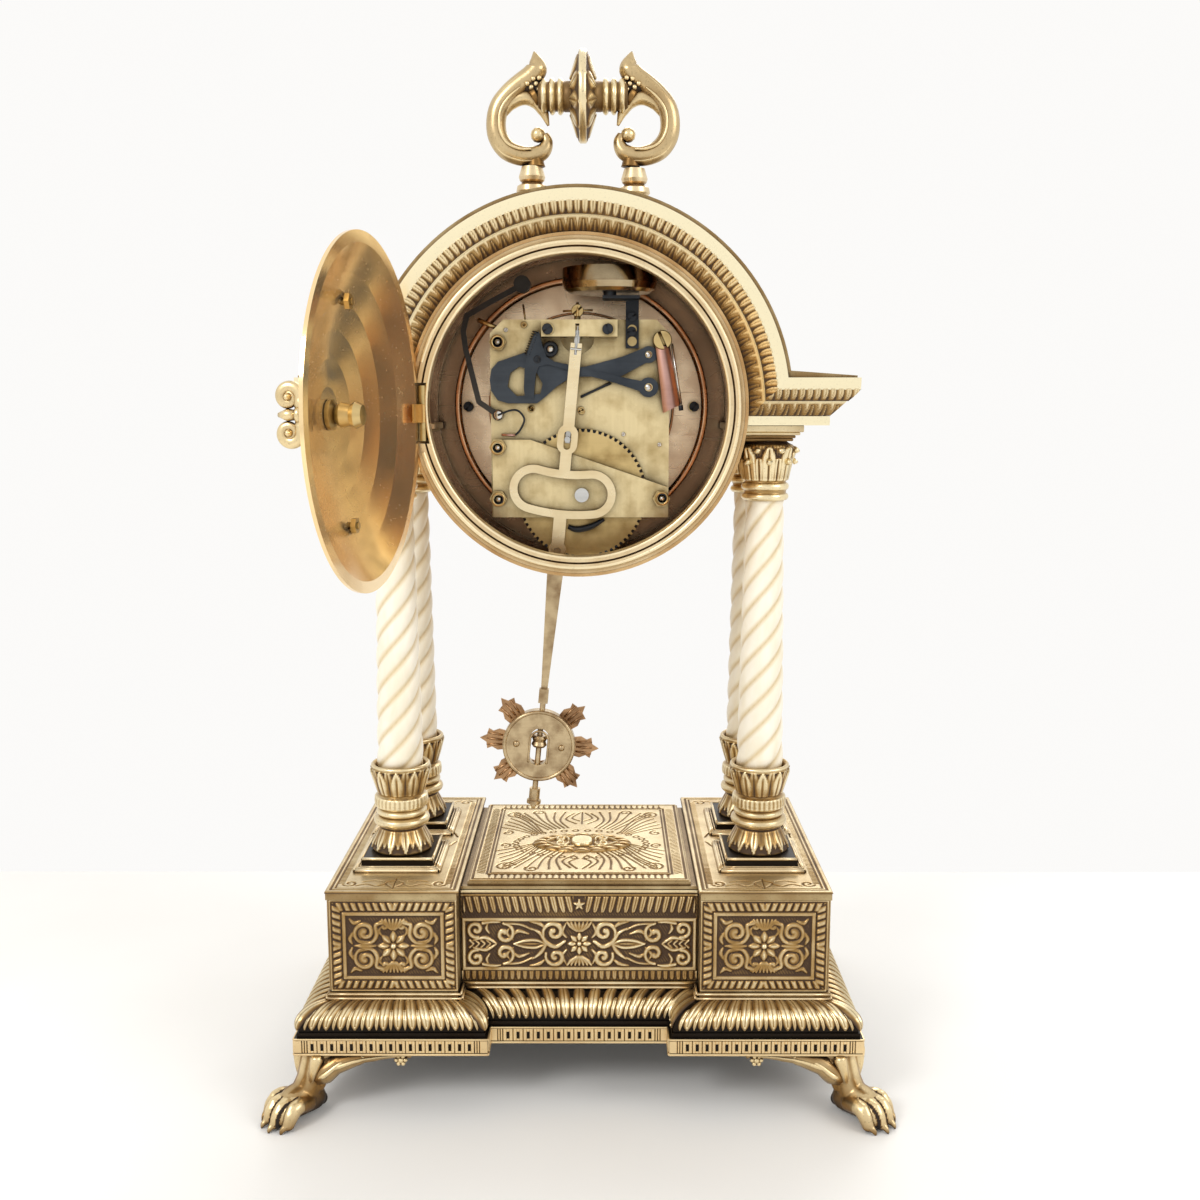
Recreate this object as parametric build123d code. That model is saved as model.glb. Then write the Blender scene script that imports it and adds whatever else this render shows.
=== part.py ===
from build123d import *
import os
from math import asin, atan2, cos, degrees, pi, radians, sin, sqrt

# Pendulum table clock in millimetres. +Z is up from the floor and +Y points towards the dial,
# so the rear, with its open door, faces -Y. The origin is on the floor, under the middle of the base.

# Clearances
seat_gap = 0.1
running_gap = 0.06
swing_gap = 0.3

# Base
foot_height = 26.0
band_height = 7.0
fillet_height = 3.6
gadroon_height = 6.8
ledge_height = 3.3
pedestal_height = 38.6
plate_thickness = 3.3
pedestal_half_length = 99.0
pedestal_half_depth = 59.0
centre_half_length = 48.2
centre_half_depth = 49.0
plate_overhang = 1.0
band_flare = 12.6
gadroon_flare = 10.9
ledge_flare = 1.3
base_wall = 2.6
cover_thickness = 1.6
panel_depth = 0.8
panel_margin_x = 5.6
panel_margin_z = 6.8

# Columns
column_x = 75.0
column_y = 22.5
slab_size = 35.0
slab_height = 1.5
block_size = 29.5
block_height = 4.0
skirt_radius = 13.4
skirt_height = 10.5
torus_radius = 11.6
torus_height = 7.6
collar_radius = 11.0
collar_height = 5.7
cup_radius = 13.4
cup_height = 13.1
cup_recess = 6.0
shaft_radius_low = 9.8
shaft_radius_high = 7.8
shaft_visible = 109.5
capital_ring_radius = 9.35
capital_bell_radius = 12.4
capital_ring_height = 7.1
capital_bell_height = 16.6
abacus_size = 26.4
abacus_height = 6.4
rod_radius = 2.6
rod_hole_radius = 3.0
nut_radius = 4.6
nut_height = 4.0

# Cornice and arch
cornice_height = 18.0
cornice_half_length = 106.5
cornice_half_depth = 52.0
cornice_wall = 5.0
soffit_thickness = 2.5
arch_radius = 80.0
arch_centre_below_cornice = 11.2
roof_thickness = 1.6
roof_half_depth = 50.5
wing_rise = 2.6

# Moulding steps, each as the inward offset at which it ends and how far it stands back
moulding_steps = [(4.4, 0.0), (8.6, 3.6), (9.8, 5.6), (14.2, 9.6), (18.0, 14.0)]

# Drum, dial and doors
arch_band_width = 14.4
drum_radius = arch_radius - arch_band_width
drum_wall = 1.3
drum_half_depth = 43.0
ring_set_in = 3.0
ring_width = 5.3
ring_outer_radius = drum_radius - ring_set_in
ring_inner_radius = ring_outer_radius - ring_width
ring_proud = 3.0
ring_spigot = 2.4
pan_set_in = 9.6
pan_radius = drum_radius - pan_set_in
pan_depth = 6.0
pan_sheet = 1.2
dial_set_in = 4.6
dial_radius = drum_radius - dial_set_in
dial_thickness = 1.0
bezel_set_in = 0.7
bezel_width = 7.9
bezel_outer_radius = drum_radius - bezel_set_in
bezel_inner_radius = bezel_outer_radius - bezel_width
bezel_height = 5.4
glass_overlap = 2.4
glass_radius = bezel_inner_radius + glass_overlap
glass_thickness = 1.6
bezel_hinge_set_in = 3.0
bezel_hinge_x = bezel_hinge_set_in - drum_radius
bezel_hinge_proud = 2.2
slot_half_width = 19.0
slot_depth = 14.0
door_set_in = 5.4
door_radius = drum_radius - door_set_in
door_sheet = 1.3
door_rim = 4.0
door_dish = 14.5
door_drop = 2.2
door_nut_spread = 37.5
door_open_angle = 98.0
hinge_set_in = 6.0
hinge_x = hinge_set_in - drum_radius
hinge_proud = 1.8
hinge_length = 21.0
hinge_radius = 1.6
hinge_pin_radius = 0.8
hinge_leaf = 1.0
hinge_notch_margin = 1.0
door_flat = 1.8

# Handle
handle_x = 1.5
handle_half_span = 20.8
handle_foot_radius = 7.4
handle_foot_disc = 3.0
handle_foot_height = 18.0
handle_bar_rise = 41.9
handle_bar_half = 18.4
handle_bar_radius = 5.9
handle_ring_radius = 7.2
handle_disc_radius = 17.8
handle_disc_half = 5.0
scroll_radius = 12.2
scroll_band = 5.0
scroll_thickness = 9.0

# Movement
plate_half_width = 37.0
plate_height = 81.2
plate_sheet = 1.5
plate_chamfer = 5.5
back_plate_y = -3.5
plate_spacing = 24.0
plate_bottom_below_dial = 45.7
pillar_radius = 3.0
pillar_neck_radius = 1.8
pillar_x = 33.7
pillar_top_above_dial = 26.4
pillar_low_below_dial = 37.5
bridge_y = -9.4
bridge_sheet = 1.2
bridge_post_above_pillar = 21.2
barrel_x = 0.8
barrel_below_dial = 35.9
great_wheel_radius = 27.0
great_wheel_teeth = 69
great_wheel_sheet = 1.2
great_wheel_gap = 1.1
barrel_radius = 21.5
barrel_length = 14.0
barrel_wall = 1.0
arbor_radius = 2.5
arbor_head_radius = 2.9
arbor_head_length = 3.6
winding_square = 3.2
pivot_x = -0.8
pivot_above_dial = 29.6
cock_half_width = 15.4
cock_height = 6.7
pendulum_y = -12.0
crutch_y = -8.9
rack_y = -6.9
lever_y = -5.2
lever_sheet = 0.9
rack_hub_x = 28.3
rack_hub_rise = 8.0
rack_stud_radius = 1.6
lever_hub_x = 28.3
lever_hub_rise = 21.3
lever_stud_radius = 1.4
hammer_x = -33.9
hammer_drop = 3.3
hammer_pin_radius = 1.2
bell_x = 12.3
bell_y = -14.0
bell_radius = 19.0
bell_height = 9.5
bell_above_dial = 45.2
bell_wall = 1.2

# Pendulum, measured down from the suspension point
pendulum_tilt = 5.59
leader_sheet = 1.2
leader_width = 4.6
eye_drop = 42.9
eye_width = 8.3
eye_height = 12.4
loop_drop = 65.5
loop_half_angle = 10.6
loop_width = 19.8
loop_band = 3.3
hook_drop = 88.5
rod_top_drop = 86.0
rod_width_top = 7.0
rod_width_low = 2.6
rod_sheet = 1.2
rod_end_drop = 150.0
thread_radius = 1.2
bob_drop = 172.4
bob_radius = 15.4
bob_thickness = 4.4
bob_window_half = 3.7
bob_window_height = 16.0
ray_radius = 25.4
ray_sheet = 1.0
rating_nut_radius = 3.3
rating_nut_height = 5.0
tail_radius = 2.3
tail_top_drop = 191.6
tail_end_drop = 200.6

# Hands
hour_hand_length = 30.0
minute_hand_length = 46.0
hand_sheet = 0.5
centre_arbor_radius = 1.5
hour_pipe_radius = 2.6
hour_hand_angle = 305.0
minute_hand_angle = 60.0

# Levels worked out from the sizes above
band_top = foot_height + band_height
fillet_top = band_top + fillet_height
gadroon_top = fillet_top + gadroon_height
ledge_top = gadroon_top + ledge_height
pedestal_top = ledge_top + pedestal_height
plate_top = pedestal_top + plate_thickness
block_top = plate_top + slab_height + block_height
skirt_top = block_top + skirt_height
torus_top = skirt_top + torus_height
collar_top = torus_top + collar_height
cup_top = collar_top + cup_height
shaft_top = cup_top + shaft_visible
capital_bell_top = shaft_top + capital_ring_height + capital_bell_height
capital_top = capital_bell_top + abacus_height
cornice_top = capital_top + cornice_height
dial_z = cornice_top - arch_centre_below_cornice
roof_radius = arch_radius + roof_thickness
drum_inner_radius = drum_radius - drum_wall
drum_clear_radius = drum_radius + seat_gap
column_spots = [(-column_x, -column_y), (column_x, -column_y), (-column_x, column_y), (column_x, column_y)]
spot_names = ["rear_left", "rear_right", "front_left", "front_right"]
pivot_z = dial_z + pivot_above_dial
barrel_z = dial_z - barrel_below_dial
front_plate_y = back_plate_y + plate_sheet + plate_spacing
pan_y = drum_half_depth - dial_thickness - pan_sheet - pan_depth
dial_y = drum_half_depth - dial_thickness
bezel_y = drum_half_depth + swing_gap
hinge_y = -drum_half_depth - hinge_proud
bezel_hinge_y = drum_half_depth + bezel_hinge_proud
door_z = dial_z - door_drop


def block(x0, x1, y0, y1, z0, z1):
    """A box between two corners."""
    return Pos((x0 + x1) / 2, (y0 + y1) / 2, (z0 + z1) / 2) * Box(x1 - x0, y1 - y0, z1 - z0)


def post(x, y, z0, z1, radius):
    """An upright cylinder."""
    return Pos(x, y, (z0 + z1) / 2) * Cylinder(radius, z1 - z0)


def bar_y(x, z, y0, y1, radius):
    """A cylinder that runs from front to back."""
    return Pos(x, (y0 + y1) / 2, z) * Rot(90, 0, 0) * Cylinder(radius, y1 - y0)


def turned(profile):
    """A shape turned about the Z axis, from (radius, height) points."""
    outline = make_face(Polyline(*[(r, 0, z) for r, z in profile], close=True))
    return revolve(outline, Axis.Z, 360)


def turned_y(profile, x=0.0, z=0.0):
    """A shape turned about an axis along Y, from (radius, y) points."""
    outline = make_face(Polyline(*[(x + r, y, z) for r, y in profile], close=True))
    return revolve(outline, Axis((x, 0, z), (0, 1, 0)), 360)


def turned_x(profile, x=0.0, y=0.0, z=0.0):
    """A shape turned about an axis along X, from (radius, x) points."""
    outline = make_face(Polyline(*[(x + along, y, z + r) for r, along in profile], close=True))
    return revolve(outline, Axis((x, y, z), (1, 0, 0)), 360)


def slab(sketch, y0, y1):
    """A flat drawing in the XZ plane given a thickness from y0 to y1."""
    return extrude(Pos(0, y0, 0) * (Plane.XZ * sketch), amount=y1 - y0, dir=(0, 1, 0))


def outline_of(points):
    """A flat drawing from corner points, kept where they are."""
    return Polygon(*points, align=None)


def hexagon_y(x, z, y0, y1, radius):
    """A hexagon nut whose axis runs from front to back."""
    return slab(Pos(x, z) * RegularPolygon(radius, 6), y0, y1)


def save(name, shape):
    """Write one named piece."""
    export_step(shape, f"parts/{name}.step")


def group(solids):
    """Separate solids kept together under one name."""
    return Compound(children=[piece.solid() for piece in solids])


def base_outline(offset):
    """Plan of the base: two pedestals with a narrower centre between them, grown by an offset."""
    x_out = pedestal_half_length + offset
    x_in = centre_half_length - offset
    y_side = pedestal_half_depth + offset
    y_mid = centre_half_depth + offset
    near = [(-x_out, -y_side), (-x_in, -y_side), (-x_in, -y_mid), (x_in, -y_mid), (x_in, -y_side), (x_out, -y_side)]
    far = [(-x, -y) for x, y in near]
    return outline_of(near + far)


def base_tier(offset_low, offset_high, z_low, z_high):
    """One storey of the plinth, upright or flared with mitred corners."""
    low = (Pos(0, 0, z_low) * base_outline(offset_low)).face()
    if offset_low == offset_high:
        return extrude(low, amount=z_high - z_low, dir=(0, 0, 1))
    high = (Pos(0, 0, z_high) * base_outline(offset_high)).face()
    return loft([low, high], ruled=True)


def make_base_plinth():
    """Dentil band, two fillets and a gadroon flare, hollow from below."""
    tiers = [base_tier(band_flare, band_flare, foot_height, band_top)]
    mid = band_top + fillet_height / 2
    tiers.append(base_tier(band_flare - 1.0, band_flare - 1.0, band_top, mid))
    tiers.append(base_tier(gadroon_flare, gadroon_flare, mid, fillet_top))
    turns = [0, 25, 50, 75, 90]
    for low, high in zip(turns, turns[1:]):
        span = gadroon_flare - ledge_flare
        tiers.append(base_tier(
            ledge_flare + span * cos(radians(low)), ledge_flare + span * cos(radians(high)),
            fillet_top + gadroon_height * sin(radians(low)), fillet_top + gadroon_height * sin(radians(high))))
    body = tiers[0]
    for tier in tiers[1:]:
        body = body + tier
    recess = base_tier(band_flare - base_wall, band_flare - base_wall, foot_height - 1, foot_height + cover_thickness)
    lower = base_tier(band_flare - 2 * base_wall, band_flare - 2 * base_wall, foot_height, fillet_top - base_wall)
    upper = base_tier(-base_wall, -base_wall, foot_height, gadroon_top + 1)
    return body - recess - lower - upper


def make_bottom_cover():
    """The plate that closes the base from below, with its six screws."""
    size = band_flare - base_wall - seat_gap
    plate = base_tier(size, size, foot_height, foot_height + cover_thickness)
    screw_x = pedestal_half_length + band_flare - 1.5 * base_wall
    screw_y = column_y * 1.5
    spots = [(x, y) for x in (-screw_x, screw_x) for y in (-screw_y, 0.0, screw_y)]
    screws = []
    for x, y in spots:
        plate = plate - post(x, y, foot_height - 1, foot_height + cover_thickness + 1, 0.9)
        screws.append(post(x, y, foot_height, foot_height + cover_thickness, 0.8))
    return group([plate] + screws)


def make_pedestal(side):
    """One end box of the base, open below and above, with a framed panel on its near and far faces."""
    x0 = centre_half_length
    x1 = pedestal_half_length
    y = pedestal_half_depth
    body = block(x0, x1, -y, y, gadroon_top, pedestal_top)
    body = body + block(x0, x1 + ledge_flare, -y - ledge_flare, y + ledge_flare, gadroon_top, ledge_top)
    body = body - block(x0 + base_wall, x1 - base_wall, -y + base_wall, y - base_wall, gadroon_top - 1, pedestal_top + 1)
    z0 = ledge_top + panel_margin_z - 2.6
    z1 = pedestal_top - panel_margin_z
    for face in (-y, y):
        body = body - block(x0 + panel_margin_x, x1 - panel_margin_x, face - panel_depth, face + panel_depth, z0, z1)
    body = body - block(x1 - panel_depth, x1 + panel_depth, -y + panel_margin_x, y - panel_margin_x, z0, z1)
    return body if side > 0 else mirror(body, Plane.YZ)


def make_centre_box():
    """The middle of the base between the pedestals."""
    x = centre_half_length - seat_gap
    y = centre_half_depth
    top = pedestal_top + 0.7
    body = block(-x, x, -y, y, gadroon_top, top)
    body = body + block(-x, x, -y - ledge_flare, y + ledge_flare, gadroon_top, ledge_top)
    body = body - block(-x + base_wall, x - base_wall, -y + base_wall, y - base_wall, gadroon_top - 1, top + 1)
    z0 = ledge_top + panel_margin_z - 1.0
    z1 = pedestal_top - panel_margin_z - 4.0
    for face in (-y, y):
        body = body - block(-x + 1.5, x - 1.5, face - panel_depth, face + panel_depth, z0, z1)
    return body


def make_side_plate(side):
    """One engraved top plate, bored for the rods of its two columns."""
    x0 = centre_half_length
    x1 = pedestal_half_length + plate_overhang
    y = pedestal_half_depth + plate_overhang
    body = block(x0, x1, -y, y, pedestal_top, plate_top)
    for y_spot in (-column_y, column_y):
        body = body - post(column_x, y_spot, pedestal_top - 1, plate_top + 1, rod_hole_radius)
    body = body - block(0, centre_half_length, -centre_half_depth - 2, centre_half_depth + 2, pedestal_top - 1, plate_top + 1)
    return body if side > 0 else mirror(body, Plane.YZ)


def make_centre_top_plate():
    """The middle top plate, stepped along its edge."""
    low = pedestal_top + 0.7
    step = low + 1.2
    x = centre_half_length - 0.5
    y = centre_half_depth + plate_overhang
    return block(-x, x, -y, y, low, step) + block(-x + 2.7, x - 2.7, -y + 1.2, y - 1.2, step, plate_top + 0.2)


def make_top_medallion():
    """A low oval boss on the middle top plate."""
    plate = plate_top + 0.2
    low = (Pos(0.5, -6.0, plate) * Ellipse(22.6, 12.6)).face()
    high = (Pos(0.5, -6.0, plate + 2.4) * Ellipse(19.6, 9.6)).face()
    return loft([low, high], ruled=True)


def make_paw_foot(x_sign, y_sign):
    """A lion's paw that points out along the diagonal, with its leg and two bracket wings."""
    corner_x = pedestal_half_length + band_flare
    corner_y = pedestal_half_depth + band_flare
    turn = Pos(corner_x, corner_y, 0) * Rot(0, 0, 45)

    def section(along, up, width, height):
        return (turn * Pos(along, 0, up) * Rot(0, 90, 0) * Ellipse(height / 2, width / 2)).face()

    paw = loft([
        section(-11.0, 6.0, 7.0, 8.0), section(-6.0, 6.2, 13.0, 12.0), section(2.0, 6.8, 17.0, 14.6),
        section(9.0, 5.4, 16.0, 12.0), section(13.0, 3.4, 11.0, 7.0)])
    leg = loft([
        (turn * Pos(-4.0, 0, 8.0) * Ellipse(6.4, 6.0)).face(), (turn * Pos(-7.0, 0, 15.0) * Ellipse(4.8, 4.6)).face(),
        (turn * Pos(-11.0, 0, 21.0) * Ellipse(7.0, 7.4)).face(), (turn * Pos(-13.0, 0, foot_height) * Ellipse(9.4, 9.6)).face()])
    body = paw + leg
    wing_low = foot_height - 9.0
    reach = 40.0
    x0 = corner_x - 7.0
    y0 = corner_y - 7.0
    wing_x = outline_of([
        (x0, foot_height), (x0, wing_low), (x0 - 14, foot_height - 5.0), (x0 - 26, foot_height - 3.0),
        (x0 - reach + 6, foot_height - 2.4), (x0 - reach, foot_height - 5.4), (x0 - reach - 4, foot_height - 3.0),
        (x0 - reach - 4, foot_height)])
    body = body + slab(wing_x, y0 - 3.0, y0 + 2.0)
    wing_y = outline_of([
        (y0, foot_height), (y0, wing_low), (y0 - 14, foot_height - 5.0), (y0 - 26, foot_height - 3.0),
        (y0 - reach + 6, foot_height - 2.4), (y0 - reach, foot_height - 5.4), (y0 - reach - 4, foot_height - 3.0),
        (y0 - reach - 4, foot_height)])
    body = body + extrude(Pos(x0 - 3.0, 0, 0) * (Plane.YZ * wing_y), amount=5.0, dir=(1, 0, 0))
    body = body - block(0, 200, 0, 200, -20, 0) - block(0, 200, 0, 200, foot_height, foot_height + 20)
    if x_sign < 0:
        body = mirror(body, Plane.YZ)
    if y_sign < 0:
        body = mirror(body, Plane.XZ)
    return body


def make_column_plinth(x, y):
    """The stepped square plinth under a column."""
    half = slab_size / 2
    inner = block_size / 2
    body = block(x - half, x + half, y - half, y + half, plate_top, plate_top + slab_height)
    body = body + block(x - inner, x + inner, y - inner, y + inner, plate_top + slab_height, block_top)
    return body - post(x, y, plate_top - 1, block_top + 1, rod_hole_radius)


def make_column_base(x, y):
    """Leaf skirt, double torus, reeded collar and leafed cup, in one turned piece."""
    bore = shaft_radius_low + seat_gap
    profile = [
        (rod_hole_radius, block_top), (skirt_radius - 0.4, block_top), (skirt_radius, block_top + 2.0),
        (skirt_radius - 1.6, block_top + 5.0), (skirt_radius - 3.6, skirt_top - 1.0), (skirt_radius - 3.8, skirt_top),
        (torus_radius - 0.4, skirt_top + 0.8), (torus_radius, skirt_top + 2.2), (torus_radius - 0.6, skirt_top + 3.8),
        (torus_radius - 2.4, skirt_top + 4.4), (torus_radius - 1.2, torus_top - 2.4), (torus_radius - 1.4, torus_top - 0.8),
        (torus_radius - 2.2, torus_top), (collar_radius, torus_top + 0.6), (collar_radius, collar_top - 0.6),
        (collar_radius - 1.4, collar_top), (collar_radius - 0.9, collar_top + 2.8), (collar_radius + 0.5, collar_top + 8.0),
        (cup_radius, cup_top), (bore, cup_top), (bore, cup_top - cup_recess), (rod_hole_radius, cup_top - cup_recess)]
    return Pos(x, y, 0) * turned(profile)


def make_column_shaft(x, y):
    """The tapered shaft, bored for its rod."""
    profile = [
        (rod_hole_radius, cup_top - cup_recess), (shaft_radius_low, cup_top - cup_recess),
        (shaft_radius_low, cup_top), (shaft_radius_high, shaft_top), (rod_hole_radius, shaft_top)]
    return Pos(x, y, 0) * turned(profile)


def make_column_capital(x, y):
    """Two rings, a leafed bell and a square abacus."""
    ring = capital_ring_radius
    bell = capital_bell_radius
    foot = shaft_top + capital_ring_height
    profile = [
        (rod_hole_radius, shaft_top), (ring - 0.8, shaft_top), (ring, shaft_top + 1.4), (ring - 1.0, shaft_top + 3.0),
        (ring - 1.0, shaft_top + 4.0), (ring, shaft_top + 5.7), (ring - 1.1, foot), (ring - 0.6, foot + 4.0),
        (ring + 0.6, foot + 9.0), (bell - 0.5, foot + 13.6), (bell, foot + 15.4), (bell - 2.6, capital_bell_top),
        (rod_hole_radius, capital_bell_top)]
    half = abacus_size / 2
    neck = half - 2.6
    cap = block(-neck, neck, -neck, neck, capital_bell_top, capital_bell_top + 3.2)
    cap = cap + block(-half, half, -half, half, capital_bell_top + 3.2, capital_top)
    cap = cap - post(0, 0, capital_bell_top - 1, capital_top + 1, rod_hole_radius)
    capital = Pos(x, y, 0) * (turned(profile) + cap)
    return capital - bar_y(0, dial_z, -60, 60, drum_radius + swing_gap)


def make_tie_rod(x, y):
    """A threaded rod through one column, with a nut at each end."""
    low = pedestal_top - nut_height - 1.5
    high = capital_top + soffit_thickness + nut_height + 1.0
    rod = post(x, y, low, high, rod_radius)
    for start in (pedestal_top - nut_height, capital_top + soffit_thickness):
        rod = rod + extrude(Pos(x, y, start) * RegularPolygon(nut_radius, 6), amount=nut_height, dir=(0, 0, 1))
    return rod


def cornice_outer(end_inset):
    """Outside of the arch and its wings, seen from the rear."""
    half = cornice_half_length - end_inset
    wings = Pos(0, (capital_top + cornice_top) / 2) * Rectangle(2 * half, cornice_height)
    upper = outline_of([
        (-arch_radius, capital_top), (arch_radius, capital_top),
        (arch_radius, cornice_top + arch_radius), (-arch_radius, cornice_top + arch_radius)])
    return wings + (Pos(0, dial_z) * Circle(arch_radius) & upper)


def cornice_inner(offset):
    """What lies inside a moulding that ends at this inward offset."""
    far = 2 * cornice_half_length
    below = cornice_top - offset - capital_top
    inside = Pos(0, dial_z) * Circle(max(arch_radius - offset, drum_clear_radius))
    if below > 0.01:
        inside = inside + Pos(0, capital_top + below / 2) * Rectangle(far, below)
    return inside


def make_cornice_rear():
    """The moulding that runs along one wing, over the arch and along the other wing."""
    drum_hole = Pos(0, dial_z) * Circle(drum_clear_radius)
    body = None
    last_offset = 0.0
    for offset, inset in moulding_steps:
        y0 = -cornice_half_depth + inset
        strip = slab(cornice_outer(inset) - cornice_inner(offset) - drum_hole, y0, y0 + cornice_wall)
        body = strip if body is None else body + strip
        z0 = cornice_top - offset
        z1 = cornice_top - last_offset + (0.4 if last_offset else 0.0)
        x1 = cornice_half_length - inset
        for side in (-1, 1):
            x_ends = sorted((side * (x1 - cornice_wall), side * x1))
            body = body + block(x_ends[0], x_ends[1], y0, -seat_gap / 2, z0, z1)
        last_offset = offset
    last_inset = moulding_steps[-1][1]
    x1 = cornice_half_length - last_inset
    for side in (-1, 1):
        x_ends = sorted((side * (drum_radius - 8.0), side * x1))
        floor = block(x_ends[0], x_ends[1], -cornice_half_depth + last_inset, -seat_gap / 2,
                      capital_top, capital_top + soffit_thickness)
        floor = floor - bar_y(0, dial_z, -cornice_half_depth, 1, drum_clear_radius)
        floor = floor - post(side * column_x, -column_y, capital_top - 1, capital_top + 5, rod_hole_radius)
        body = body + floor
    return body


def make_arch_roof():
    """The vaulted roof with the two wing tops that slope up to it."""
    foot_x = sqrt(arch_radius ** 2 - arch_centre_below_cornice ** 2)
    cut = outline_of([
        (-roof_radius - 1, cornice_top), (roof_radius + 1, cornice_top),
        (roof_radius + 1, cornice_top + roof_radius), (-roof_radius - 1, cornice_top + roof_radius)])
    vault = (Pos(0, dial_z) * Circle(roof_radius) - Pos(0, dial_z) * Circle(arch_radius)) & cut
    body = slab(vault, -roof_half_depth, roof_half_depth)
    edge = cornice_half_length - 1.0
    for side in (-1, 1):
        wing = outline_of([
            (side * foot_x, cornice_top), (side * edge, cornice_top), (side * edge, cornice_top + 0.8),
            (side * (foot_x + 1.2), cornice_top + wing_rise)])
        body = body + slab(wing, -roof_half_depth, roof_half_depth)
    return body


def make_drum_shell():
    """The case tube that holds the movement, slotted below for the pendulum."""
    d = drum_half_depth
    body = bar_y(0, dial_z, -d, d, drum_radius) - bar_y(0, dial_z, -d - 1, d + 1, drum_inner_radius)
    y0 = pendulum_y - slot_depth / 2
    slot = block(-slot_half_width, slot_half_width, y0, y0 + slot_depth, dial_z - drum_radius - 2, dial_z - 40)
    return body - slot


def make_rear_ring():
    """The grooved ring that closes the rear of the drum round its door, notched for the hinge."""
    y = -drum_half_depth
    ring = turned_y([
        (ring_inner_radius, y - ring_proud + 0.8), (ring_inner_radius, y + ring_spigot),
        (drum_inner_radius - seat_gap, y + ring_spigot), (drum_inner_radius - seat_gap, y),
        (ring_outer_radius, y), (ring_outer_radius, y - ring_proud + 0.8), (ring_outer_radius - 0.6, y - ring_proud),
        (ring_outer_radius - 2.2, y - ring_proud), (ring_outer_radius - 2.6, y - ring_proud + 0.8),
        (ring_outer_radius - 3.0, y - ring_proud), (ring_inner_radius + 0.6, y - ring_proud)], 0, dial_z)
    half = hinge_length / 2 + hinge_notch_margin
    notch = block(hinge_x - 6.0, hinge_x + 2.6, y - ring_proud - 1, y, door_z - half, door_z + half)
    return ring - notch


def make_dial_pan():
    """The dished sheet that carries the movement and the dial."""
    y = pan_y
    rim = drum_inner_radius - seat_gap
    pan = turned_y([
        (hour_pipe_radius + 2.5, y), (pan_radius, y), (pan_radius, y + pan_depth), (rim, y + pan_depth),
        (rim, y + pan_depth + pan_sheet), (pan_radius - pan_sheet, y + pan_depth + pan_sheet),
        (pan_radius - pan_sheet, y + pan_sheet), (hour_pipe_radius + 2.5, y + pan_sheet)], 0, dial_z)
    return pan - bar_y(barrel_x, barrel_z, y - 1, y + pan_sheet + 1, arbor_radius + 1.5)


def make_dial():
    """The round dial with its centre hole and one winding hole."""
    dial = bar_y(0, dial_z, dial_y, dial_y + dial_thickness, dial_radius)
    dial = dial - bar_y(0, dial_z, dial_y - 1, dial_y + 2, hour_pipe_radius + 1.0)
    return dial - bar_y(barrel_x, barrel_z, dial_y - 1, dial_y + 2, arbor_radius + 1.2)


def make_handle_foot(side):
    """One turned foot of the handle, its disc square to the arch."""
    x = handle_x + side * handle_half_span
    lean = degrees(asin(x / roof_radius))
    rise = sqrt(roof_radius ** 2 - x ** 2)
    disc = Pos(x, 0, dial_z + rise) * Rot(0, lean, 0) * Pos(0, 0, handle_foot_disc / 2 + seat_gap)
    disc = disc * Cylinder(handle_foot_radius, handle_foot_disc)
    low = dial_z + rise + 1.0
    high = low + handle_foot_height - 2.0
    stem = turned([
        (0, low), (4.4, low), (3.6, low + 3.4), (4.6, low + 4.4), (6.4, low + 6.4), (6.0, low + 8.4), (3.9, low + 9.6),
        (5.0, low + 10.6), (5.4, low + 12.0), (4.2, high), (0, high)])
    foot = disc + Pos(x, 0, 0) * stem
    return foot - bar_y(0, dial_z, -20, 20, roof_radius + seat_gap / 2)


def make_handle_scroll(side):
    """One C scroll with an inner curl and a pointed leaf, mirrored for the other side."""
    z_foot = dial_z + sqrt(roof_radius ** 2 - (handle_x + side * handle_half_span) ** 2) + handle_foot_height - 1.0
    z_bar = dial_z + roof_radius + handle_bar_rise
    x_c = -handle_half_span - 4.0
    z_c = z_bar - 9.6
    band = SlotArc(CenterArc((x_c, z_c), scroll_radius, 55, 232), scroll_band)
    curl = SlotArc(CenterArc((x_c + 4.6, z_c - 6.2), 5.4, -95, 185), 3.2)
    ball = Pos(x_c + 4.2, z_c - 1.0) * Circle(3.3)
    hub_x = -handle_bar_half + 0.6
    leaf = outline_of([
        (x_c - 2.0, z_c + scroll_radius - 1.0), (x_c + 2.4, z_bar + 9.0), (x_c + 3.6, z_bar + 15.4),
        (x_c + 5.6, z_bar + 9.0), (hub_x, z_bar + 5.0), (hub_x, z_bar - 2.0)])
    neck = Pos(x_c + 3.6, (z_foot + z_c - scroll_radius) / 2)
    neck = neck * Rectangle(6.4, z_c - scroll_radius - z_foot + 1.2)
    hub_end = outline_of([
        (x_c + 2.0, z_bar - 4.4), (hub_x, z_bar - 4.4), (hub_x, z_bar + 4.4), (x_c + 2.0, z_bar + 4.4)])
    half = scroll_thickness / 2
    body = slab(band, -half, half)
    for drawing in (curl, ball, leaf, neck, hub_end):
        body = body + slab(drawing, -half, half)
    bar_room = block(hub_x, 0, -half - 1, half + 1, z_bar - handle_ring_radius - 1, z_bar + handle_disc_radius)
    body = body - bar_room - block(-60, 60, -20, 20, z_foot - 30, z_foot)
    if side > 0:
        body = mirror(body, Plane.YZ)
    return Pos(handle_x, 0, 0) * body


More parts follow.
